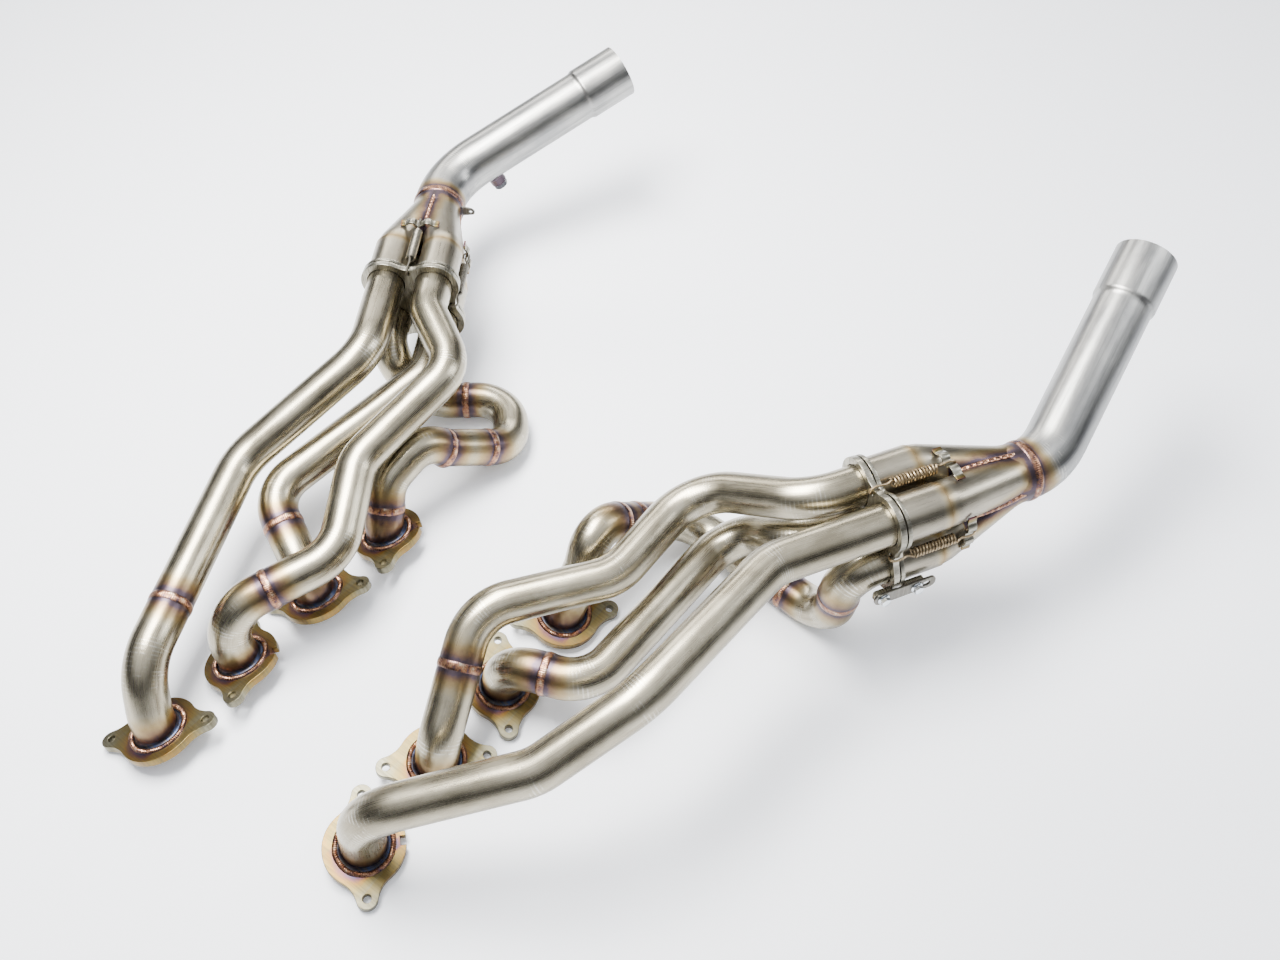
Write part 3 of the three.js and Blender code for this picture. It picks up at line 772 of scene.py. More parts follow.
def bead(name, station, radius, matrix, body, width=9.6, height=1.0, ripples=66, lying=False):
    """A raised ring of weld ripples round a tube, or lying on a plate round it."""
    u, v = carry([station])[0]
    points, straight, weld = [], [], []
    for k in range(BEAD_AROUND):
        angle = 2 * math.pi * k / BEAD_AROUND
        out = u * math.cos(angle) + v * math.sin(angle)
        slide = (out * radius).dot(station["plane"]) / station["along"].dot(station["plane"])
        wave = BEAD_WANDER * math.sin(3 * angle) * math.cos(5 * angle)
        for j in range(BEAD_ACROSS + 1):
            t = j / BEAD_ACROSS * 2 - 1
            phase = angle * ripples / (2 * math.pi) + 0.4 * t * t
            ripple = 0.66 + 0.34 * abs(math.sin(math.pi * phase))
            lift = height * math.sqrt(max(0.0, 1 - t * t)) * ripple - BEAD_SINK
            across = t * width / 2 + wave
            away, ahead = (across, lift) if lying else (lift, across)
            base = station["place"] + out * (radius + away)
            points.append(matrix @ (base + station["along"] * (ahead - slide)))
            straight.append((radius * math.cos(angle), radius * math.sin(angle), t * width / 2))
            weld.append(abs(t) * BEAD_EDGE / MM)
    row = BEAD_ACROSS + 1
    faces = []
    for k in range(BEAD_AROUND):
        after = (k + 1) % BEAD_AROUND
        for j in range(BEAD_ACROSS):
            faces.append((k * row + j, k * row + j + 1, after * row + j + 1, after * row + j))
    return piece(name, points, faces, straight, weld, BEAD, body)


print("a bead has", BEAD_AROUND, "by", BEAD_ACROSS, "faces")

# %% [markdown]
# ## The pipes
#
# The table of each pipe starts at its port flange and ends inside the collector. It is cut at its welds into
# the same pieces as the CAD model, and a bead goes over each cut.

# %% Corners and welds of a pipe
STUB_RECESS = 1.5


def lobe_point(bank, lobe, x):
    half = LOBE_PITCH / 2
    return bank["local_collector"] @ Vector((x, lobe[0] * half, lobe[1] * half))


def pipe_corners(bank, pipe, index):
    port = Vector((index * PORT_PITCH, 0, bank["port_height"]))
    rise, rise_radius = pipe["rise"]
    run_in, run_in_radius = pipe["run_in"]
    start = port + bank["normal"] * STUB_RECESS
    first = port + bank["normal"] * rise
    last = lobe_point(bank, pipe["lobe"], -run_in)
    end = lobe_point(bank, pipe["lobe"], INSERTION)
    return [(*start, 0), (*first, rise_radius), *pipe["bends"], (*last, run_in_radius), (*end, 0)]


def weld_lengths(corners, at_corner, welds):
    """The travelled length at each weld, which is given as a run and a part of that run."""
    lengths = []
    for run, part in welds:
        a, b = Vector(corners[run][:3]), Vector(corners[run + 1][:3])
        lengths.append(at_corner[run] + (b - a).length * part)
    return lengths


first_corners = pipe_corners(BANKS["left"], BANKS["left"]["pipes"][0], 0)
print("left pipe 1 starts at height", round(first_corners[0][2], 1), "mm")

# %% Cut a centre line
NEAR = 0.5  # mm, a station closer than this to a cut is left out


def between(stations, low, high):
    """The stations from one travelled length to another, with a new one at each cut."""

    def at(s):
        for a, b in zip(stations, stations[1:]):
            if a["s"] <= s <= b["s"] and b["s"] > a["s"]:
                t = (s - a["s"]) / (b["s"] - a["s"])
                made = dict(a)
                made["place"] = a["place"].lerp(b["place"], t)
                made["s"] = s
                made["plane"] = made["along"] = a["along"].lerp(b["along"], t).normalized()
                return made
        return dict(stations[-1])

    inside = [dict(st) for st in stations if low + NEAR < st["s"] < high - NEAR]
    return [at(low), *inside, at(high)]


print("a cut at 150 mm is at", round(between(corner_line, 0, 150)[-1]["s"]), "mm")

# %% Bend the pipes
FLANGE_HEAT = FLANGE_THICKNESS - 3
STUB_LIP = 34


def bend_pipes(name, bank):
    for index, pipe in enumerate(bank["pipes"]):
        corners = pipe_corners(bank, pipe, index)
        stations, at_corner = centre_line(corners)
        cuts = weld_lengths(corners, at_corner, pipe["welds"])
        marks = [0.0, *cuts, stations[-1]["s"]]
        rings = weld_lengths(corners, at_corner, pipe.get("rings", []))
        hot = [FLANGE_HEAT, *cuts, *rings]
        for k, (low, high) in enumerate(zip(marks, marks[1:])):
            node = f"{name}_{pipe['pieces'][k]}"
            part = between(stations, low, high)
            tube(
                f"{node}_skin",
                part,
                lambda i: TUBE_RADIUS,
                hot,
                TUBE_STEEL,
                bank["matrix"],
                BODY,
                [node],
                lips=(STUB_LIP if k == 0 else 0, 0),
            )
        for k, cut in enumerate(cuts + rings):
            station = min(stations, key=lambda st: abs(st["s"] - cut))
            mitred = station["plane"] is not station["along"] and abs(station["s"] - cut) < 1
            if not mitred:
                station = between(stations, cut, stations[-1]["s"])[0]
            bead(f"{name}_weld_{index + 1}_{k + 1}", station, TUBE_RADIUS, bank["matrix"], BODY)
        length = round(stations[-1]["s"])
        print(name, "pipe", index + 1, "length", length, "welds", [round(c) for c in cuts])


for name, bank in BANKS.items():
    bend_pipes(name, bank)

# %% [markdown]
# ## Plates with holes
#
# Flanges, the plates of the collectors, the spring bridges and the strap are all cut from sheet. A 2D curve
# with holes fills itself and takes a small bevel all round, which catches the light as a deburred edge does.
# Its mesh then gets its attributes like every other piece.

# %% Outlines of circles and fillets


def arc_points(x, y, radius, start, end, steps):
    turn = (end - start) / steps
    return [
        (x + radius * math.cos(start + turn * k), y + radius * math.sin(start + turn * k))
        for k in range(steps + 1)
    ]


def circle(x, y, radius, steps=48):
    return arc_points(x, y, radius, 0, 2 * math.pi, steps)[:-1]


def beaded_outline(circles, fillet):
    """Circles in a row round a middle, joined by hollow fillets."""
    between_circles = []
    for (ax, ay, ar), (bx, by, br) in zip(circles, circles[1:] + circles[:1]):
        reach_a, reach_b = ar + fillet, br + fillet
        apart = math.hypot(bx - ax, by - ay)
        along = (apart**2 + reach_a**2 - reach_b**2) / (2 * apart)
        out = math.sqrt(reach_a**2 - along**2)
        ux, uy = (bx - ax) / apart, (by - ay) / apart
        between_circles.append((ax + ux * along + uy * out, ay + uy * along - ux * out))
    points = []
    for i, (x, y, radius) in enumerate(circles):
        before, after = between_circles[i - 1], between_circles[i]
        following = circles[(i + 1) % len(circles)]
        start = math.atan2(before[1] - y, before[0] - x)
        end = math.atan2(after[1] - y, after[0] - x)
        end += 2 * math.pi if end < start else 0
        points += arc_points(x, y, radius, start, end, 24)
        leave = math.atan2(y - after[1], x - after[0])
        arrive = math.atan2(following[1] - after[1], following[0] - after[0])
        arrive -= 2 * math.pi if arrive > leave else 0
        points += arc_points(*after, fillet, leave, arrive, 10)[1:-1]
    return points


print("points of a three-lobed outline", len(beaded_outline([(0, 9, 5), (-8, -5, 5), (8, -5, 5)], 4)))

# %% Plates with a broken edge
EDGE = 0.45


def plate(name, outline, holes, thickness, matrix, material, body, replaces, hot=()):
    """A flat plate standing on its local z = 0. hot are circles (x, y, radius) with a weld round them."""
    curve = bpy.data.curves.new(name, "CURVE")
    curve.dimensions = "2D"
    curve.fill_mode = "BOTH"
    curve.extrude = (thickness / 2 - EDGE) * MM
    curve.bevel_depth = EDGE * MM
    curve.bevel_resolution = 2
    curve.offset = -EDGE * MM
    for loop in [outline, *holes]:
        spline = curve.splines.new("POLY")
        spline.points.add(len(loop) - 1)
        spline.points.foreach_set("co", [v for x, y in loop for v in (x * MM, y * MM, 0, 1)])
        spline.use_cyclic_u = True
    carrier = bpy.data.objects.new(name, curve)
    filled = carrier.to_mesh()
    local = [v.co / MM for v in filled.vertices]
    faces = [tuple(p.vertices) for p in filled.polygons]
    carrier.to_mesh_clear()
    bpy.data.objects.remove(carrier)
    bpy.data.curves.remove(curve)
    points = [matrix @ (p + Vector((0, 0, thickness / 2))) for p in local]
    weld = [
        min([max(0.0, math.hypot(p.x - x, p.y - y) - radius) for x, y, radius in hot], default=COLD)
        for p in local
    ]
    return piece(name, points, faces, local, weld, material, body, replaces)


print("broken edge of the plates", EDGE, "mm")

# %% [markdown]
# ## Port flanges
#
# Each port flange is a round plate with two bolt ears on a diagonal. The weld stands off the tube as a ring
# with a dark throat inside it. It is the hottest place of the whole piece, so the plate is gold all over and
# blue next to the bead.

# %% Outline of a port flange
EAR_OFFSET, EAR_RADIUS, FLANGE_RADIUS, EAR_FILLET = 36.5, 10.5, 41, 30
NOTCH_HALF, NOTCH_DEPTH = 4.5, 6


def flange_outline(side):
    ears = [(s * EAR_OFFSET, s * side * EAR_OFFSET, EAR_RADIUS) for s in (1, -1)]
    body = (0, 0, FLANGE_RADIUS)
    outline = beaded_outline([ears[0], body, ears[1], body], EAR_FILLET)
    middle_angle = -side * math.pi / 4
    notch_x, notch_y = math.cos(middle_angle), math.sin(middle_angle)
    kept = []
    inside = False
    for x, y in outline:
        across = abs(x * notch_y - y * notch_x)
        facing = x * notch_x + y * notch_y > 0
        if facing and across < NOTCH_HALF:
            if not inside:
                inside = True
                sign = 1 if (x * notch_y - y * notch_x) > 0 else -1
                for depth, edge in ((0, sign), (NOTCH_DEPTH, sign), (NOTCH_DEPTH, -sign), (0, -sign)):
                    r = math.sqrt(FLANGE_RADIUS**2 - NOTCH_HALF**2) - depth
                    kept.append(
                        (
                            notch_x * r + notch_y * NOTCH_HALF * edge,
                            notch_y * r - notch_x * NOTCH_HALF * edge,
                        )
                    )
            continue
        kept.append((x, y))
    return kept


print("points of a port flange", len(flange_outline(1)))

# %% Turned pieces


def turned(name, profile, matrix, material, body, replaces=(), weld=COLD):
    """A profile of (radius, height) turned about the local z axis."""
    points, straight = [], []
    for radius, height in profile:
        loop = straight_ring(height, radius, SIDES)
        straight.extend(loop)
        points.extend(matrix @ Vector(p) for p in loop)
    faces = ring_faces(len(profile), SIDES)
    return piece(name, points, faces, straight, [weld] * len(points), material, body, replaces)


print("turned pieces have", SIDES, "sides")

# %% Cut the port flanges
BOLT_HOLE = 4.25
BORE_CLEARANCE = 0.5
THROAT = [(22.7, 13.6), (23.1, 12.0), (24.0, 10.7), (25.4, 10.0), (27.2, 9.5)]
THROAT_HEAT = 1.2
HOT_RADIUS = 30
FLANGE_BEAD = {"radius": 28.4, "width": 6.2, "height": 3.0, "ripples": 84}


def cut_flanges(name, bank):
    tilt = Matrix.Rotation(math.radians(bank["tilt"]), 4, "X")
    for i, side in enumerate(bank["ears"]):
        port = Matrix.Translation((i * PORT_PITCH, 0, bank["port_height"]))
        matrix = bank["matrix"] @ port @ tilt
        bolts = [circle(s * EAR_OFFSET, s * side * EAR_OFFSET, BOLT_HOLE, 24) for s in (1, -1)]
        node = f"{name}_port_flange_{i + 1}"
        plate(
            f"{node}_plate",
            flange_outline(side),
            [circle(0, 0, TUBE_RADIUS + BORE_CLEARANCE), *bolts],
            FLANGE_THICKNESS,
            matrix,
            FLANGE_STEEL,
            BODY,
            [node],
            hot=[(0, 0, HOT_RADIUS)],
        )
        up = Vector((0, 0, 1))
        station = {"place": up * FLANGE_THICKNESS, "along": up, "plane": up}
        node = f"{name}_flange_weld_{i + 1}"
        bead(node, station, matrix=matrix, body=BODY, lying=True, **FLANGE_BEAD)
        throat = f"{name}_flange_throat_{i + 1}"
        turned(throat, THROAT, matrix, FLANGE_STEEL, BODY, weld=THROAT_HEAT)


for name, bank in BANKS.items():
    cut_flanges(name, bank)
    print(name, "port flanges", len(bank["ears"]))

# %% [markdown]
# ## Slip plate and collector plate
#
# Two clover-shaped plates face each other across the slip joint. The first is fixed to the four pipes and
# has a hole in each neck for a spring hook. The second carries the collector.

# %% Cut the clover plates
LOBES = [(-1, -1), (1, -1), (1, 1), (-1, 1)]
ACROSS = Matrix(((0, 0, 1, 0), (1, 0, 0, 0), (0, 1, 0, 0), (0, 0, 0, 1)))
HOOK_REACH = LOBE_PITCH / 2 + 17
HOOK_HOLES = [(0, HOOK_REACH), (0, -HOOK_REACH), (HOOK_REACH, 0), (-HOOK_REACH, 0)]
LOBE_CLEARANCE = 0.7


def clover(radius, fillet):
    half = LOBE_PITCH / 2
    return beaded_outline([(a * half, b * half, radius) for a, b in LOBES], fillet)


def cut_clovers(name, bank):
    half = LOBE_PITCH / 2
    bores = [circle(a * half, b * half, TUBE_RADIUS + LOBE_CLEARANCE) for a, b in LOBES]
    hooks = [circle(x, y, 2.8, 20) for x, y in HOOK_HOLES]
    facing = f"{name}_collector_plate"
    cuts = [
        (f"{name}_slip_plate", clover(31, 30), bores + hooks, -7, 6.6, BODY),
        (facing, clover(30.5, 15), bores, 1.6, 4.4, f"{name}_collector"),
    ]
    for node, outline, holes, x, thickness, body in cuts:
        matrix = bank["collector_matrix"] @ Matrix.Translation((x, 0, 0)) @ ACROSS
        plate(f"{node}_cut", outline, holes, thickness, matrix, PLATE_STEEL, body, [node])


for name, bank in BANKS.items():
    cut_clovers(name, bank)
print("clover plates", round(LOBE_PITCH + 2 * 31), "mm across")

# %% [markdown]
# ## Collectors
#
# Four sleeves bend inwards and run together to one neck. In sheet metal the legs are cut where they meet and
# welded along the seam, so the legs simply pass into each other here and a bead follows each seam. A cone
# under them fills the valleys just before the round neck. Each sleeve ends in a small step.

# %% How the legs run together
SLEEVE_RADIUS = 25.5
MERGE_START, MERGE_END, MERGE_OFFSET = 62, 166, 5.3
EASE = 7


def leg_offset(x):
    """How far the middle of a leg is to the side, and up, at a distance along the collector."""

    def straight(x):
        part = min(1.0, max(0.0, (x - MERGE_START) / (MERGE_END - MERGE_START)))
        return LOBE_PITCH / 2 + (MERGE_OFFSET - LOBE_PITCH / 2) * part

    return 0.5 * (straight(x - EASE) + straight(x + EASE))


print("leg offset at its start and end", leg_offset(0), round(leg_offset(NECK_END), 1))

# %% Skins of the collectors
SEAM_START, SLEEVE_STEP, OUTLET_WELD = 84, 56, 176
STEP_HEAT = 11


def add_skin(store, rings):
    """Adds the rings of one skin to the lists of a piece that has several."""
    points, faces, straight, weld = store
    base = len(points)
    travelled = 0.0
    for i, loop in enumerate(rings):
        if i:
            travelled += (loop[0] - rings[i - 1][0]).length
        points.extend(loop)
        centre = sum(loop, Vector()) / len(loop)
        radius = (loop[0] - centre).length
        straight.extend(straight_ring(travelled + base, radius, SIDES))
        for p in loop:
            seam = min(abs(p.y), abs(p.z)) if centre.x > SEAM_START else COLD
            step = abs(centre.x - SLEEVE_STEP) + STEP_HEAT
            weld.append(min(abs(centre.x - OUTLET_WELD), seam, step))
    faces.extend(tuple(base + v for v in face) for face in ring_faces(len(rings), SIDES))


def x_ring(x, y, z, radius):
    """A ring that faces along the collector."""
    points = []
    for k in range(SIDES):
        angle = 2 * math.pi * k / SIDES
        points.append(Vector((x, y + radius * math.cos(angle), z + radius * math.sin(angle))))
    return points


print("first point of a ring", x_ring(10, 0, 0, SLEEVE_RADIUS)[0][:])

# %% Form the collectors
LEG_STEPS = [6.3, 20, 40, SLEEVE_STEP, SLEEVE_STEP + 0.5, 59, 62, 66, 70, *range(76, 167, 5), 168]
STEP_DEPTH = 0.7
CONE = [(128, 20), (140, 26.5), (152, 30.6), (160, 32.4), (166, 33), (173, 33), (NECK_END, 33)]


def form_collector(name, bank):
    store = ([], [], [], [])
    for a, b in LOBES:
        rings = []
        for x in LEG_STEPS:
            offset = leg_offset(x)
            radius = SLEEVE_RADIUS if x <= SLEEVE_STEP else SLEEVE_RADIUS - STEP_DEPTH
            rings.append(x_ring(x, a * offset, b * offset, radius))
        add_skin(store, rings)
    add_skin(store, [x_ring(x, 0, 0, radius) for x, radius in CONE])
    points, faces, straight, weld = store
    points = [bank["collector_matrix"] @ p for p in points]
    node = f"{name}_collector"
    piece(f"{node}_legs", points, faces, straight, weld, COLLECTOR_STEEL, node, [node])


for name, bank in BANKS.items():
    form_collector(name, bank)
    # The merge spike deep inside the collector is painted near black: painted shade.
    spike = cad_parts[f"{name}_merge_spike"]
    spike.data.materials.clear()
    spike.data.materials.append(SPIKE_PAINTED_SHADE)
    print(name, "collector has", len(LOBES), "legs")

# %% [markdown]
# ## Seams of the collectors
#
# A bead lies in each valley between two legs. Where two round legs cross, their skins meet at a height that
# follows from the circle, so the bead is placed by that formula and needs no measuring of the mesh.

# %% Lay the seams
SEAM_END, SEAM_RINGS, SEAM_SIDES = 165, 90, 10
SEAM_FLATTEN, SEAM_SINK, SEAM_RIPPLE = 1.35, 0.3, 2.2


def seam_height(x):
    offset = leg_offset(x)
    return offset + math.sqrt(max(0.0, SLEEVE_RADIUS**2 - offset**2))


def seam_bead(name, bank, quarter):
    """The weld along the valley between two legs."""
    start = SEAM_START + 14
    points, straight = [], []
    place = bank["collector_matrix"] @ Matrix.Rotation(quarter * math.pi / 2, 4, "X")
    for i in range(SEAM_RINGS + 1):
        x = start + (SEAM_END - start) * i / SEAM_RINGS
        ripple = 2.0 + 0.4 * abs(math.sin(math.pi * i / SEAM_RIPPLE))
        for k in range(SEAM_SIDES):
            angle = 2 * math.pi * k / SEAM_SIDES
            across = ripple * SEAM_FLATTEN * math.cos(angle)
            height = seam_height(x) + ripple * math.sin(angle) - SEAM_SINK
            points.append(place @ Vector((x, across, height)))
            straight.append((math.cos(angle), math.sin(angle), x))
    faces = ring_faces(SEAM_RINGS + 1, SEAM_SIDES)
    hot = [0.0] * len(points)
    node = f"{name}_merge_seam_{quarter + 1}"
    piece(node, points, faces, straight, hot, BEAD, f"{name}_collector")


for name, bank in BANKS.items():
    for quarter in range(4):
        seam_bead(name, bank, quarter)
print("seam at its start", round(seam_height(SEAM_START), 1), "mm from the axis")

# %% [markdown]
# ## Spring bridges
#
# A bent strap bridges the valley between two legs, with a dip in its middle for the spring's hook. A sheet
# metal worker draws such a strap as a bent line. Its two sides are that line moved out and in by half the
# thickness, and the same plate maker then gives it its width.

# %% A bent strip of sheet
BEND_POINTS = 5


def rounded_path(corners, radius):
    """A flat path with its corners turned into short arcs."""
    path = [corners[0]]
    for a, b, c in zip(corners, corners[1:], corners[2:]):
        a, b, c = Vector(a), Vector(b), Vector(c)
        reach = min(radius, (b - a).length / 2.2, (c - b).length / 2.2)
        p, q = b + (a - b).normalized() * reach, b + (c - b).normalized() * reach
        for k in range(BEND_POINTS + 1):
            t = k / BEND_POINTS
            path.append(tuple(p * (1 - t) ** 2 + b * 2 * t * (1 - t) + q * t**2))
    return [*path, corners[-1]]


def strip_outline(path, thickness):
    """The two sides of a bent strip of sheet."""
    above, below = [], []
    for i, point in enumerate(path):
        before = Vector(path[max(0, i - 1)])
        after = Vector(path[min(len(path) - 1, i + 1)])
        along = (after - before).normalized()
        out = Vector((-along.y, along.x)) * thickness / 2
        above.append(tuple(Vector(point) + out))
        below.append(tuple(Vector(point) - out))
    return below + above[::-1]


print("points of a strip with one bend", len(strip_outline(rounded_path([(0, 0), (9, 0), (9, 9)], 3), 2)))

# %% Bend the bridges
BRIDGE_FOOT = (-24, 52.9)
BRIDGE = [BRIDGE_FOOT, (-17, 52.9), (-12, 56.5), (-7, 56.5), (-4, 52.6)]
BRIDGE_START, BRIDGE_WIDTH, BRIDGE_THICKNESS, BRIDGE_BEND = 76, 10, 2.2, 3.0


def bend_bridge(name, bank, quarter):
    corners = BRIDGE + [(-y, z) for y, z in reversed(BRIDGE)]
    outline = strip_outline(rounded_path(corners, BRIDGE_BEND), BRIDGE_THICKNESS)
    spin = Matrix.Rotation(quarter * math.pi / 2, 4, "X")
    place = bank["collector_matrix"] @ spin @ Matrix.Translation((BRIDGE_START, 0, 0))
    node = f"{name}_spring_bridge_{quarter + 1}"
    foot_y, foot_z = BRIDGE_FOOT
    plate(
        f"{node}_strap",
        outline,
        [],
        BRIDGE_WIDTH,
        place @ ACROSS,
        PLATE_STEEL,
        f"{name}_collector",
        [node],
        hot=[(foot_y, foot_z, 0), (-foot_y, foot_z, 0)],
    )


for name, bank in BANKS.items():
    for quarter in range(4):
        bend_bridge(name, bank, quarter)
    print(name, "bridges bent")

# %% [markdown]
# ## Springs
#
# A tension spring hooks over each bridge and through a hole of the slip plate. The springs are real coils: a
# helix whose ends lead into open hooks. Those of the left bank are wound closed, and those of the right bank
# stand open.

# %% The line of the wire
WIRE_RADIUS, COIL_RADIUS, SPRING_HEIGHT = 1.3, 4.7, 52.5
COIL_START, COIL_END, COIL_POINTS = 14, 65, 18
FRONT_HOOK = [
    (-4, 0, 46.5),
    (-8.6, 0, 47.1),
    (-10.4, 0, 49.6),
    (-9.6, 0, 53.4),
    (-5.5, 0, 55.2),
    (1, 0, 55),
    (7, 0, 53.6),
    (10.5, 0, 54.5),
]
BACK_HOOK = [
    (69.5, 0, 54.8),
    (73, 0, 55.2),
    (78, 0, 56.1),
    (84, 0, 55.9),
    (88, 0, 53.8),
    (88.4, 0, 50.2),
    (84.5, 0, 48.6),
    (80, 0, 48.8),
]
TURNS = {"left": 21, "right": 14}


def smooth(corners):
    """Points of a soft curve through a few corners."""
    points = []
    padded = [corners[0], *corners, corners[-1]]
    for p0, p1, p2, p3 in zip(padded, padded[1:], padded[2:], padded[3:]):
        p0, p1, p2, p3 = (Vector(p) for p in (p0, p1, p2, p3))
        slope = p2 - p0
        bend = 2 * p0 - 5 * p1 + 4 * p2 - p3
        twist = 3 * p1 - p0 - 3 * p2 + p3
        for k in range(4):
            t = k / 4
            points.append(0.5 * (2 * p1 + slope * t + bend * t**2 + twist * t**3))
    return [tuple(p) for p in points] + [corners[-1]]


def spring_path(turns):
    """Points of the wire: hook, coil, hook."""
    coil = []
    steps = turns * COIL_POINTS
    for k in range(steps + 1):
        angle = 2 * math.pi * k / COIL_POINTS
        x = COIL_START + (COIL_END - COIL_START) * k / steps
        up = SPRING_HEIGHT + COIL_RADIUS * math.cos(angle)
        coil.append((x, COIL_RADIUS * math.sin(angle), up))
    return smooth(FRONT_HOOK) + coil + smooth(BACK_HOOK)


for name, turns in TURNS.items():
    print(name, "spring has", turns, "turns and", len(spring_path(turns)), "points")

# %% Wind the springs
SPRING_METAL = {"left": SPRING_STEEL, "right": SPRING_WIRE}
WIRE_SIDES = 8
STRETCH_START, STRETCH_END = 4, 72


def wire_stations(path):
    stations = []
    travelled = 0.0
    for i, p in enumerate(path):
        ahead, behind = path[min(len(path) - 1, i + 1)], path[max(0, i - 1)]
        travelled += (p - path[i - 1]).length if i else 0
        along = (ahead - behind).normalized()
        stations.append({"place": p, "along": along, "plane": along, "s": travelled})
    return stations


def wind_spring(name, bank, quarter):
    stations = wire_stations([Vector(p) for p in spring_path(TURNS[name])])
    matrix = bank["collector_matrix"] @ Matrix.Rotation(quarter * math.pi / 2, 4, "X")
    points, straight = [], []
    for station, directions in zip(stations, carry(stations)):
        points.extend(matrix @ p for p in ring(station, directions, WIRE_RADIUS, WIRE_SIDES))
        straight.extend(straight_ring(station["s"], WIRE_RADIUS, WIRE_SIDES))
    faces = ring_faces(len(stations), WIRE_SIDES)
    faces.append(tuple(reversed(range(WIRE_SIDES))))
    faces.append(tuple(len(points) - WIRE_SIDES + k for k in range(WIRE_SIDES)))
    node = f"{name}_spring_{quarter + 1}"
    cold = [COLD] * len(points)
    coil = piece(f"{node}_coil", points, faces, straight, cold, SPRING_METAL[name], None, [node])
    start = matrix @ Vector((STRETCH_START, 0, SPRING_HEIGHT)) * MM
    end = matrix @ Vector((STRETCH_END, 0, SPRING_HEIGHT)) * MM
    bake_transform(coil)


for name, bank in BANKS.items():
    for quarter in range(4):
        wind_spring(name, bank, quarter)
    print(name, "springs wound from", round(spring_path(1)[0][0]), "mm")

# %% [markdown]
# ## Outlet pipes
#
# Behind the collector a larger tube turns away and is expanded at its end into a socket for the next pipe.
# The inside can be seen there, so it gets a full inner wall. Further in, the merge spike is painted near
# black as painted shade.

# %% The line of an outlet
OUTLET_GAP = 0.3
SWELL = 6
SWELL_STEPS = [0, 1.5, 3, 4.5, 6, 7, *range(12, SOCKET_LENGTH, 7), SOCKET_LENGTH + SWELL]


def outlet_stations(bank):
    start = bank["local_collector"] @ Vector((NECK_END + OUTLET_GAP, 0, 0))
    corner = bank["local_collector"] @ Vector((bank["outlet"]["vertex"], 0, 0))
    end = Vector(bank["outlet"]["end"])
    stations, _ = centre_line([(*start, 0), (*corner, bank["outlet"]["radius"]), (*end, 0)])
    length = stations[-1]["s"]
    swell = length - SOCKET_LENGTH - SWELL
    kept = [st for st in stations if st["s"] < swell - 1]
    tail = stations[-1]
    for mark in SWELL_STEPS:
        made = dict(tail)
        made["s"] = swell + mark
        made["place"] = tail["place"] - tail["along"] * (length - swell - mark)
        kept.append(made)
    return kept, swell


print("left socket starts after", round(outlet_stations(BANKS["left"])[1]), "mm")

# %% Bend the outlets
OUTLET_BEAD = {"width": 10, "height": 1.3, "ripples": 88}


def bend_outlet(name, bank):
    stations, swell = outlet_stations(bank)

    def radius_at(i):
        part = min(1.0, max(0.0, (stations[i]["s"] - swell) / SWELL))
        return OUTLET_RADIUS + (SOCKET_RADIUS - OUTLET_RADIUS) * part * part * (3 - 2 * part)

    node = f"{name}_outlet_pipe"
    mover = f"{name}_collector"
    length = stations[-1]["s"]
    tube(
        f"{node}_skin",
        stations,
        radius_at,
        [0],
        OUTLET_STEEL,
        bank["matrix"],
        mover,
        [node],
        lips=(0, length),
    )
    weld = f"{name}_outlet_weld"
    bead(weld, stations[0], OUTLET_RADIUS, bank["matrix"], mover, **OUTLET_BEAD)
    print(name, "outlet length", round(length))


for name, bank in BANKS.items():
    bend_outlet(name, bank)

# %% [markdown]
# ## Hexagon heads
#
# The plug of the sensor boss and the two small bolts have hexagon heads. On a real one a cone chamfers the
# corners of the top, which leaves a curved line on each side. The loop of points where the sides end drops
# towards each corner by the slope of that cone, so the curved line is in the mesh.

# %% Hexagons
HEAD_POINTS = 48
HEAD_FLAT = 0.9
CHAMFER_SLOPE = 0.55


def hexagon(name, across, base, top, matrix, material, body, replaces=()):
    """A hexagon head with its top corners chamfered by a cone."""
    inner = across / 2
    flat = inner * HEAD_FLAT
    loops = [[], [], [], []]
    for k in range(HEAD_POINTS):
        angle = 2 * math.pi * k / HEAD_POINTS
        from_flat = (angle + math.pi / 6) % (math.pi / 3) - math.pi / 6
        edge = inner / math.cos(from_flat)
        heights = [(edge, base), (edge, top - (edge - flat) * CHAMFER_SLOPE), (flat, top), (0.0, top)]
        for loop, (radius, height) in zip(loops, heights):
            loop.append(Vector((radius * math.cos(angle), radius * math.sin(angle), height)))
    straight = [tuple(point) for loop in loops for point in loop]
    points = [matrix @ point for loop in loops for point in loop]
    faces = ring_faces(len(loops), HEAD_POINTS)
    print(name, "corner to corner", round(2 * across / math.sqrt(3), 1), "mm")
    cold = [COLD] * len(points)
    return piece(name, points, faces, straight, cold, material, body, replaces)


# %% [markdown]
# ## The sensor boss
#
# A turned ring is welded under the left outlet for an oxygen sensor, and a plug with a washer closes it. The
# CAD pieces give its place, and the line from the boss to the plug gives its axis.

# %% Sensor boss and plug
BOSS_RING = [
    (7.8, 0),
    (12.6, -1.4),
    (12.2, 0.6),
    (11.2, 1.6),
    (11, 3),
    (11, 11.2),
    (10.2, 12),
    (7.9, 12),
    (7.7, 11),
    (7.7, 4),
]
BOSS_HALF_HEIGHT = 6
WASHER = [(0, 12.1), (9.4, 12.1), (9.8, 12.5), (9.4, 12.9), (0, 12.9)]
PLUG = {"across": 17.5, "base": 12.9, "top": 19}


def along_axis(origin, axis):
    """A matrix whose z axis points along a direction."""
    turn = Vector((0, 0, 1)).rotation_difference(axis).to_matrix().to_4x4()
    return Matrix.Translation(origin) @ turn


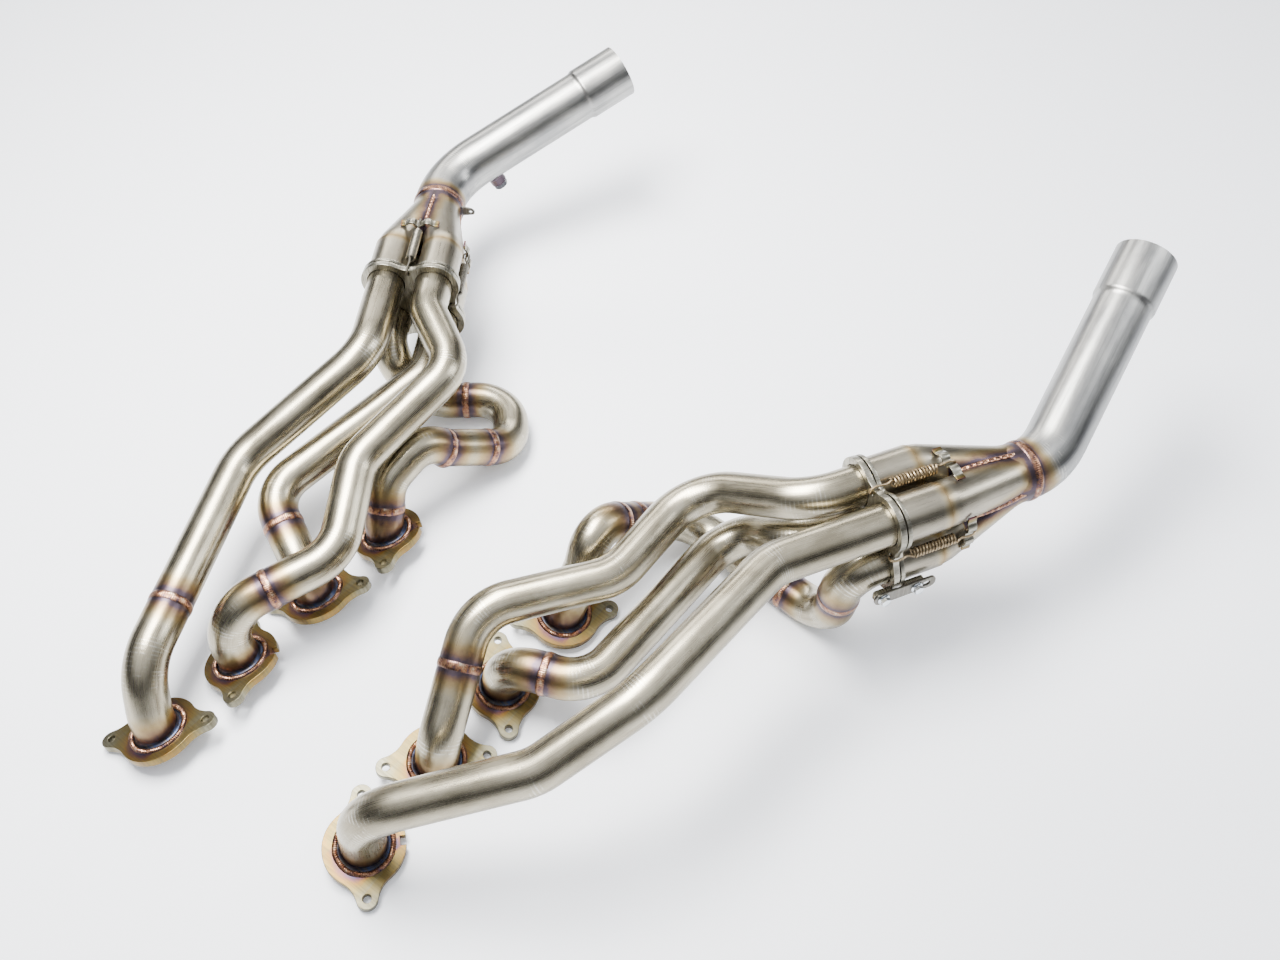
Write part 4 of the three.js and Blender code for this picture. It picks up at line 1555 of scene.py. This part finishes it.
def fit_sensor(name):
    boss, plug = f"{name}_sensor_boss", f"{name}_sensor_plug"
    axis = (middle(plug) - middle(boss)).normalized()
    base = along_axis(middle(boss) - axis * BOSS_HALF_HEIGHT, axis)
    mover = f"{name}_collector"
    turned(f"{boss}_ring", BOSS_RING, base, COLLECTOR_STEEL, mover, [boss], weld=4)
    hexagon(f"{plug}_head", **PLUG, matrix=base, material=DARK_OXIDE, body=mover, replaces=[plug])
    turned(f"{plug}_washer", WASHER, base, ZINC, mover)


fit_sensor("left")

# %% [markdown]
# ## The keeper strap
#
# On the right bank a strap lies over both plates, so that the collector can't come off when a spring breaks.
# One bolt holds it to the pipes' side, and the other, which is fixed to the collector, slides in its slot.

# %% Outlines of a slot and a rounded box


def slot_outline(start, end, height, radius):
    right = arc_points(end, height, radius, -math.pi / 2, math.pi / 2, 12)
    left = arc_points(start, height, radius, math.pi / 2, 3 * math.pi / 2, 12)
    return right + left


def rounded_box(x0, x1, y0, y1, radius):
    corners = [
        (x1 - radius, y0 + radius, -90),
        (x1 - radius, y1 - radius, 0),
        (x0 + radius, y1 - radius, 90),
        (x0 + radius, y0 + radius, 180),
    ]
    points = []
    for x, y, start in corners:
        points += arc_points(x, y, radius, math.radians(start), math.radians(start + 90), 8)
    return points


print("points of a slot", len(slot_outline(0, 10, 0, 3)))

# %% Cut the strap and its lugs
STRAP_LOW, STRAP_HIGH, STRAP_Y, STRAP_THICKNESS = -52, -36, -64.4, 2.8
STRAP_MIDDLE = (STRAP_LOW + STRAP_HIGH) / 2
BOLT_X = (-20, 19)
SLOT_END = 32
BOLT_BORE = 3.3
LUG_Y, LUG_THICKNESS = -55.4, 5.9
FLAT = Matrix(((1, 0, 0, 0), (0, 0, -1, 0), (0, 1, 0, 0), (0, 0, 0, 1)))


def cut_strap(name, bank):
    place = Matrix.Translation((0, STRAP_Y + STRAP_THICKNESS, 0))
    outline = rounded_box(-30, 42, STRAP_LOW, STRAP_HIGH, 7)
    slot = slot_outline(BOLT_X[1], SLOT_END, STRAP_MIDDLE, BOLT_BORE)
    node = f"{name}_keeper_strap"
    plate(
        f"{node}_cut",
        outline,
        [circle(BOLT_X[0], STRAP_MIDDLE, BOLT_BORE, 24), slot],
        STRAP_THICKNESS,
        bank["collector_matrix"] @ place @ FLAT,
        DARK_PLATE,
        BODY,
        [node],
    )


def cut_lug(name, bank, number, ends, body):
    outline = rounded_box(*ends, -50, -38, 3)
    hole = circle(BOLT_X[number - 1], STRAP_MIDDLE, BOLT_BORE, 24)
    matrix = bank["collector_matrix"] @ Matrix.Translation((0, LUG_Y, 0)) @ FLAT
    lug = f"{name}_keeper_lug_{number}"
    plate(lug, outline, [hole], LUG_THICKNESS, matrix, PLATE_STEEL, body, [])


cut_strap("right", BANKS["right"])
cut_lug("right", BANKS["right"], 1, (-28, -6.6), BODY)
cut_lug("right", BANKS["right"], 2, (5.6, 30), "right_collector")
print("slot is", SLOT_END - BOLT_X[1], "mm longer than its bolt")

# %% Its two bolts
SKIRT = [(3, -8), (3, 0.2), (6.6, 0.2), (6.8, 0.8), (6.4, 1.5), (4.8, 2.4)]
HEAD = {"across": 9.6, "base": 1.4, "top": 6.6}


def fit_bolt(name, bank, number, body):
    place = Matrix.Translation((BOLT_X[number - 1], STRAP_Y - 0.1, STRAP_MIDDLE))
    seat = bank["collector_matrix"] @ place @ FLAT
    node = f"{name}_keeper_bolt_{number}"
    turned(f"{node}_skirt", SKIRT, seat, ZINC, body)
    hexagon(f"{node}_head", **HEAD, matrix=seat, material=ZINC, body=body, replaces=[node])


fit_bolt("right", BANKS["right"], 1, BODY)
fit_bolt("right", BANKS["right"], 2, "right_collector")

# %% [markdown]
# ## The shield tab
#
# The left bank has a small tab beside the collector's neck, where the clip of a heat shield goes. It is cut
# from sheet like the other plates.

# %% Cut the tab
TAB = [(-33.3, 8), (-46, 5), (-50, 0), (-48, -4), (-33.3, -6)]
TAB_START, TAB_THICKNESS = 172, 3


def fit_tab(name, bank):
    matrix = bank["collector_matrix"] @ Matrix.Translation((TAB_START, 0, 0)) @ ACROSS
    node = f"{name}_shield_tab"
    hole = circle(-44, 0, 2.2, 20)
    outline = rounded_path(TAB, 2.5)
    mover = f"{name}_collector"
    plate(f"{node}_cut", outline, [hole], TAB_THICKNESS, matrix, DARK_PLATE, mover, [node])


fit_tab("left", BANKS["left"])
print("tab is", TAB_THICKNESS, "mm thick")

# %% [markdown]
# ## The floor
#
# The pair lies on a pale studio floor. It gives off a little light of its own, which keeps the shadows as
# soft as those on a lit table.

# %% The floor
FLOOR_REACH = 25
FLOOR_CORNERS = [(-1, -1), (1, -1), (1, 1), (-1, 1)]


def pale_floor():
    s = Shader(bpy.data.materials.new("pale floor"))
    place = s.node("ShaderNodeTexCoord", output="Object")
    cloud = s.noise(place, 2.0, 2.0)
    s.set(
        Base_Color=s.mix(cloud, rgb(0.87, 0.89, 0.95), rgb(0.90, 0.92, 0.97)),
        Emission_Color=rgb(0.96, 0.98, 1.0),
        Emission_Strength=0.22,
        Roughness=0.6,
    )
    mesh = bpy.data.meshes.new("floor")
    corners = [(x * FLOOR_REACH, y * FLOOR_REACH, 0) for x, y in FLOOR_CORNERS]
    mesh.from_pydata(corners, [], [(0, 1, 2, 3)])
    mesh.materials.append(s.owner)
    floor = bpy.data.objects.new("floor", mesh)
    bpy.context.scene.collection.objects.link(floor)


pale_floor()
print("floor is", 2 * FLOOR_REACH, "m wide")

# %% [markdown]
# ## The light
#
# Bright metal shows what is round it, so the light is made of a few wide soft panels with darker air between
# them. A large one overhead gives the broad pale streak along each tube, and the dark gap beside it gives
# the tube its round look.

# %% The lights


def panel(name, place, target, width, height, power, colour):
    light = bpy.data.lights.new(name, "AREA")
    light.shape = "RECTANGLE"
    light.size = width
    light.size_y = height
    light.energy = power
    light.color = colour
    made = bpy.data.objects.new(name, light)
    made.location = place
    direction = Vector(target) - Vector(place)
    made.rotation_euler = direction.to_track_quat("-Z", "Y").to_euler()
    bpy.context.scene.collection.objects.link(made)
    print(name, power, "W")


panel("overhead panel", (-0.55, 0.15, 1.7), (0, 0, 0), 1.2, 0.7, 136, (1.0, 0.985, 0.95))
panel("side panel", (1.8, 0.2, 1.3), (0.1, 0, 0.1), 0.4, 1.4, 22, (0.93, 0.96, 1.0))
panel("back panel", (-0.3, 2.0, 1.2), (0, 0.2, 0.1), 2.2, 0.4, 32, (1.0, 0.98, 0.95))

# %% [markdown]
# ## The air
#
# The air round the set is a ramp over height: bright above, and a dark belt over a pale horizon, so that
# round metal gets dark sides. It is made with the same node method as the finishes.

# %% The air round the set
AIR_LEVELS = [(0.10, 0.42), (0.20, 0.03), (0.55, 0.12), (0.84, 1.0)]
AIR_STRENGTH = 1.5


def studio_air():
    s = Shader(bpy.data.worlds.new("studio air"), "Background")
    direction = s.node("ShaderNodeTexCoord", output="Generated")
    height = s.node("ShaderNodeSeparateXYZ", None, [direction], output="Z")
    stops = [(place, (level * 0.95, level * 0.98, level * 1.04)) for place, level in AIR_LEVELS]
    s.set(Color=s.ramp(height, stops), Strength=AIR_STRENGTH)
    bpy.context.scene.world = s.owner


studio_air()
print("air", bpy.context.scene.world.name)

# %% [markdown]
# ## The camera
#
# The camera stands in front of the set and looks down on it, through a lens a little wider than a normal
# one. Its depth of field is off, so everything is sharp.

# %% The camera
CAMERA_PLACE = (-0.01865, -0.9571, 1.161)
LENS = 33.75
SENSOR_WIDTH = 36
LOOK_DOWN = 51.3
camera_data = bpy.data.cameras.new("camera")
camera_data.lens = LENS
camera_data.sensor_width = SENSOR_WIDTH
camera = bpy.data.objects.new("camera", camera_data)
camera.location = CAMERA_PLACE
camera.rotation_euler = (math.radians(90 - LOOK_DOWN), 0, 0)
bpy.context.scene.collection.objects.link(camera)
bpy.context.scene.camera = camera
print("camera at", [round(v, 3) for v in camera.location])
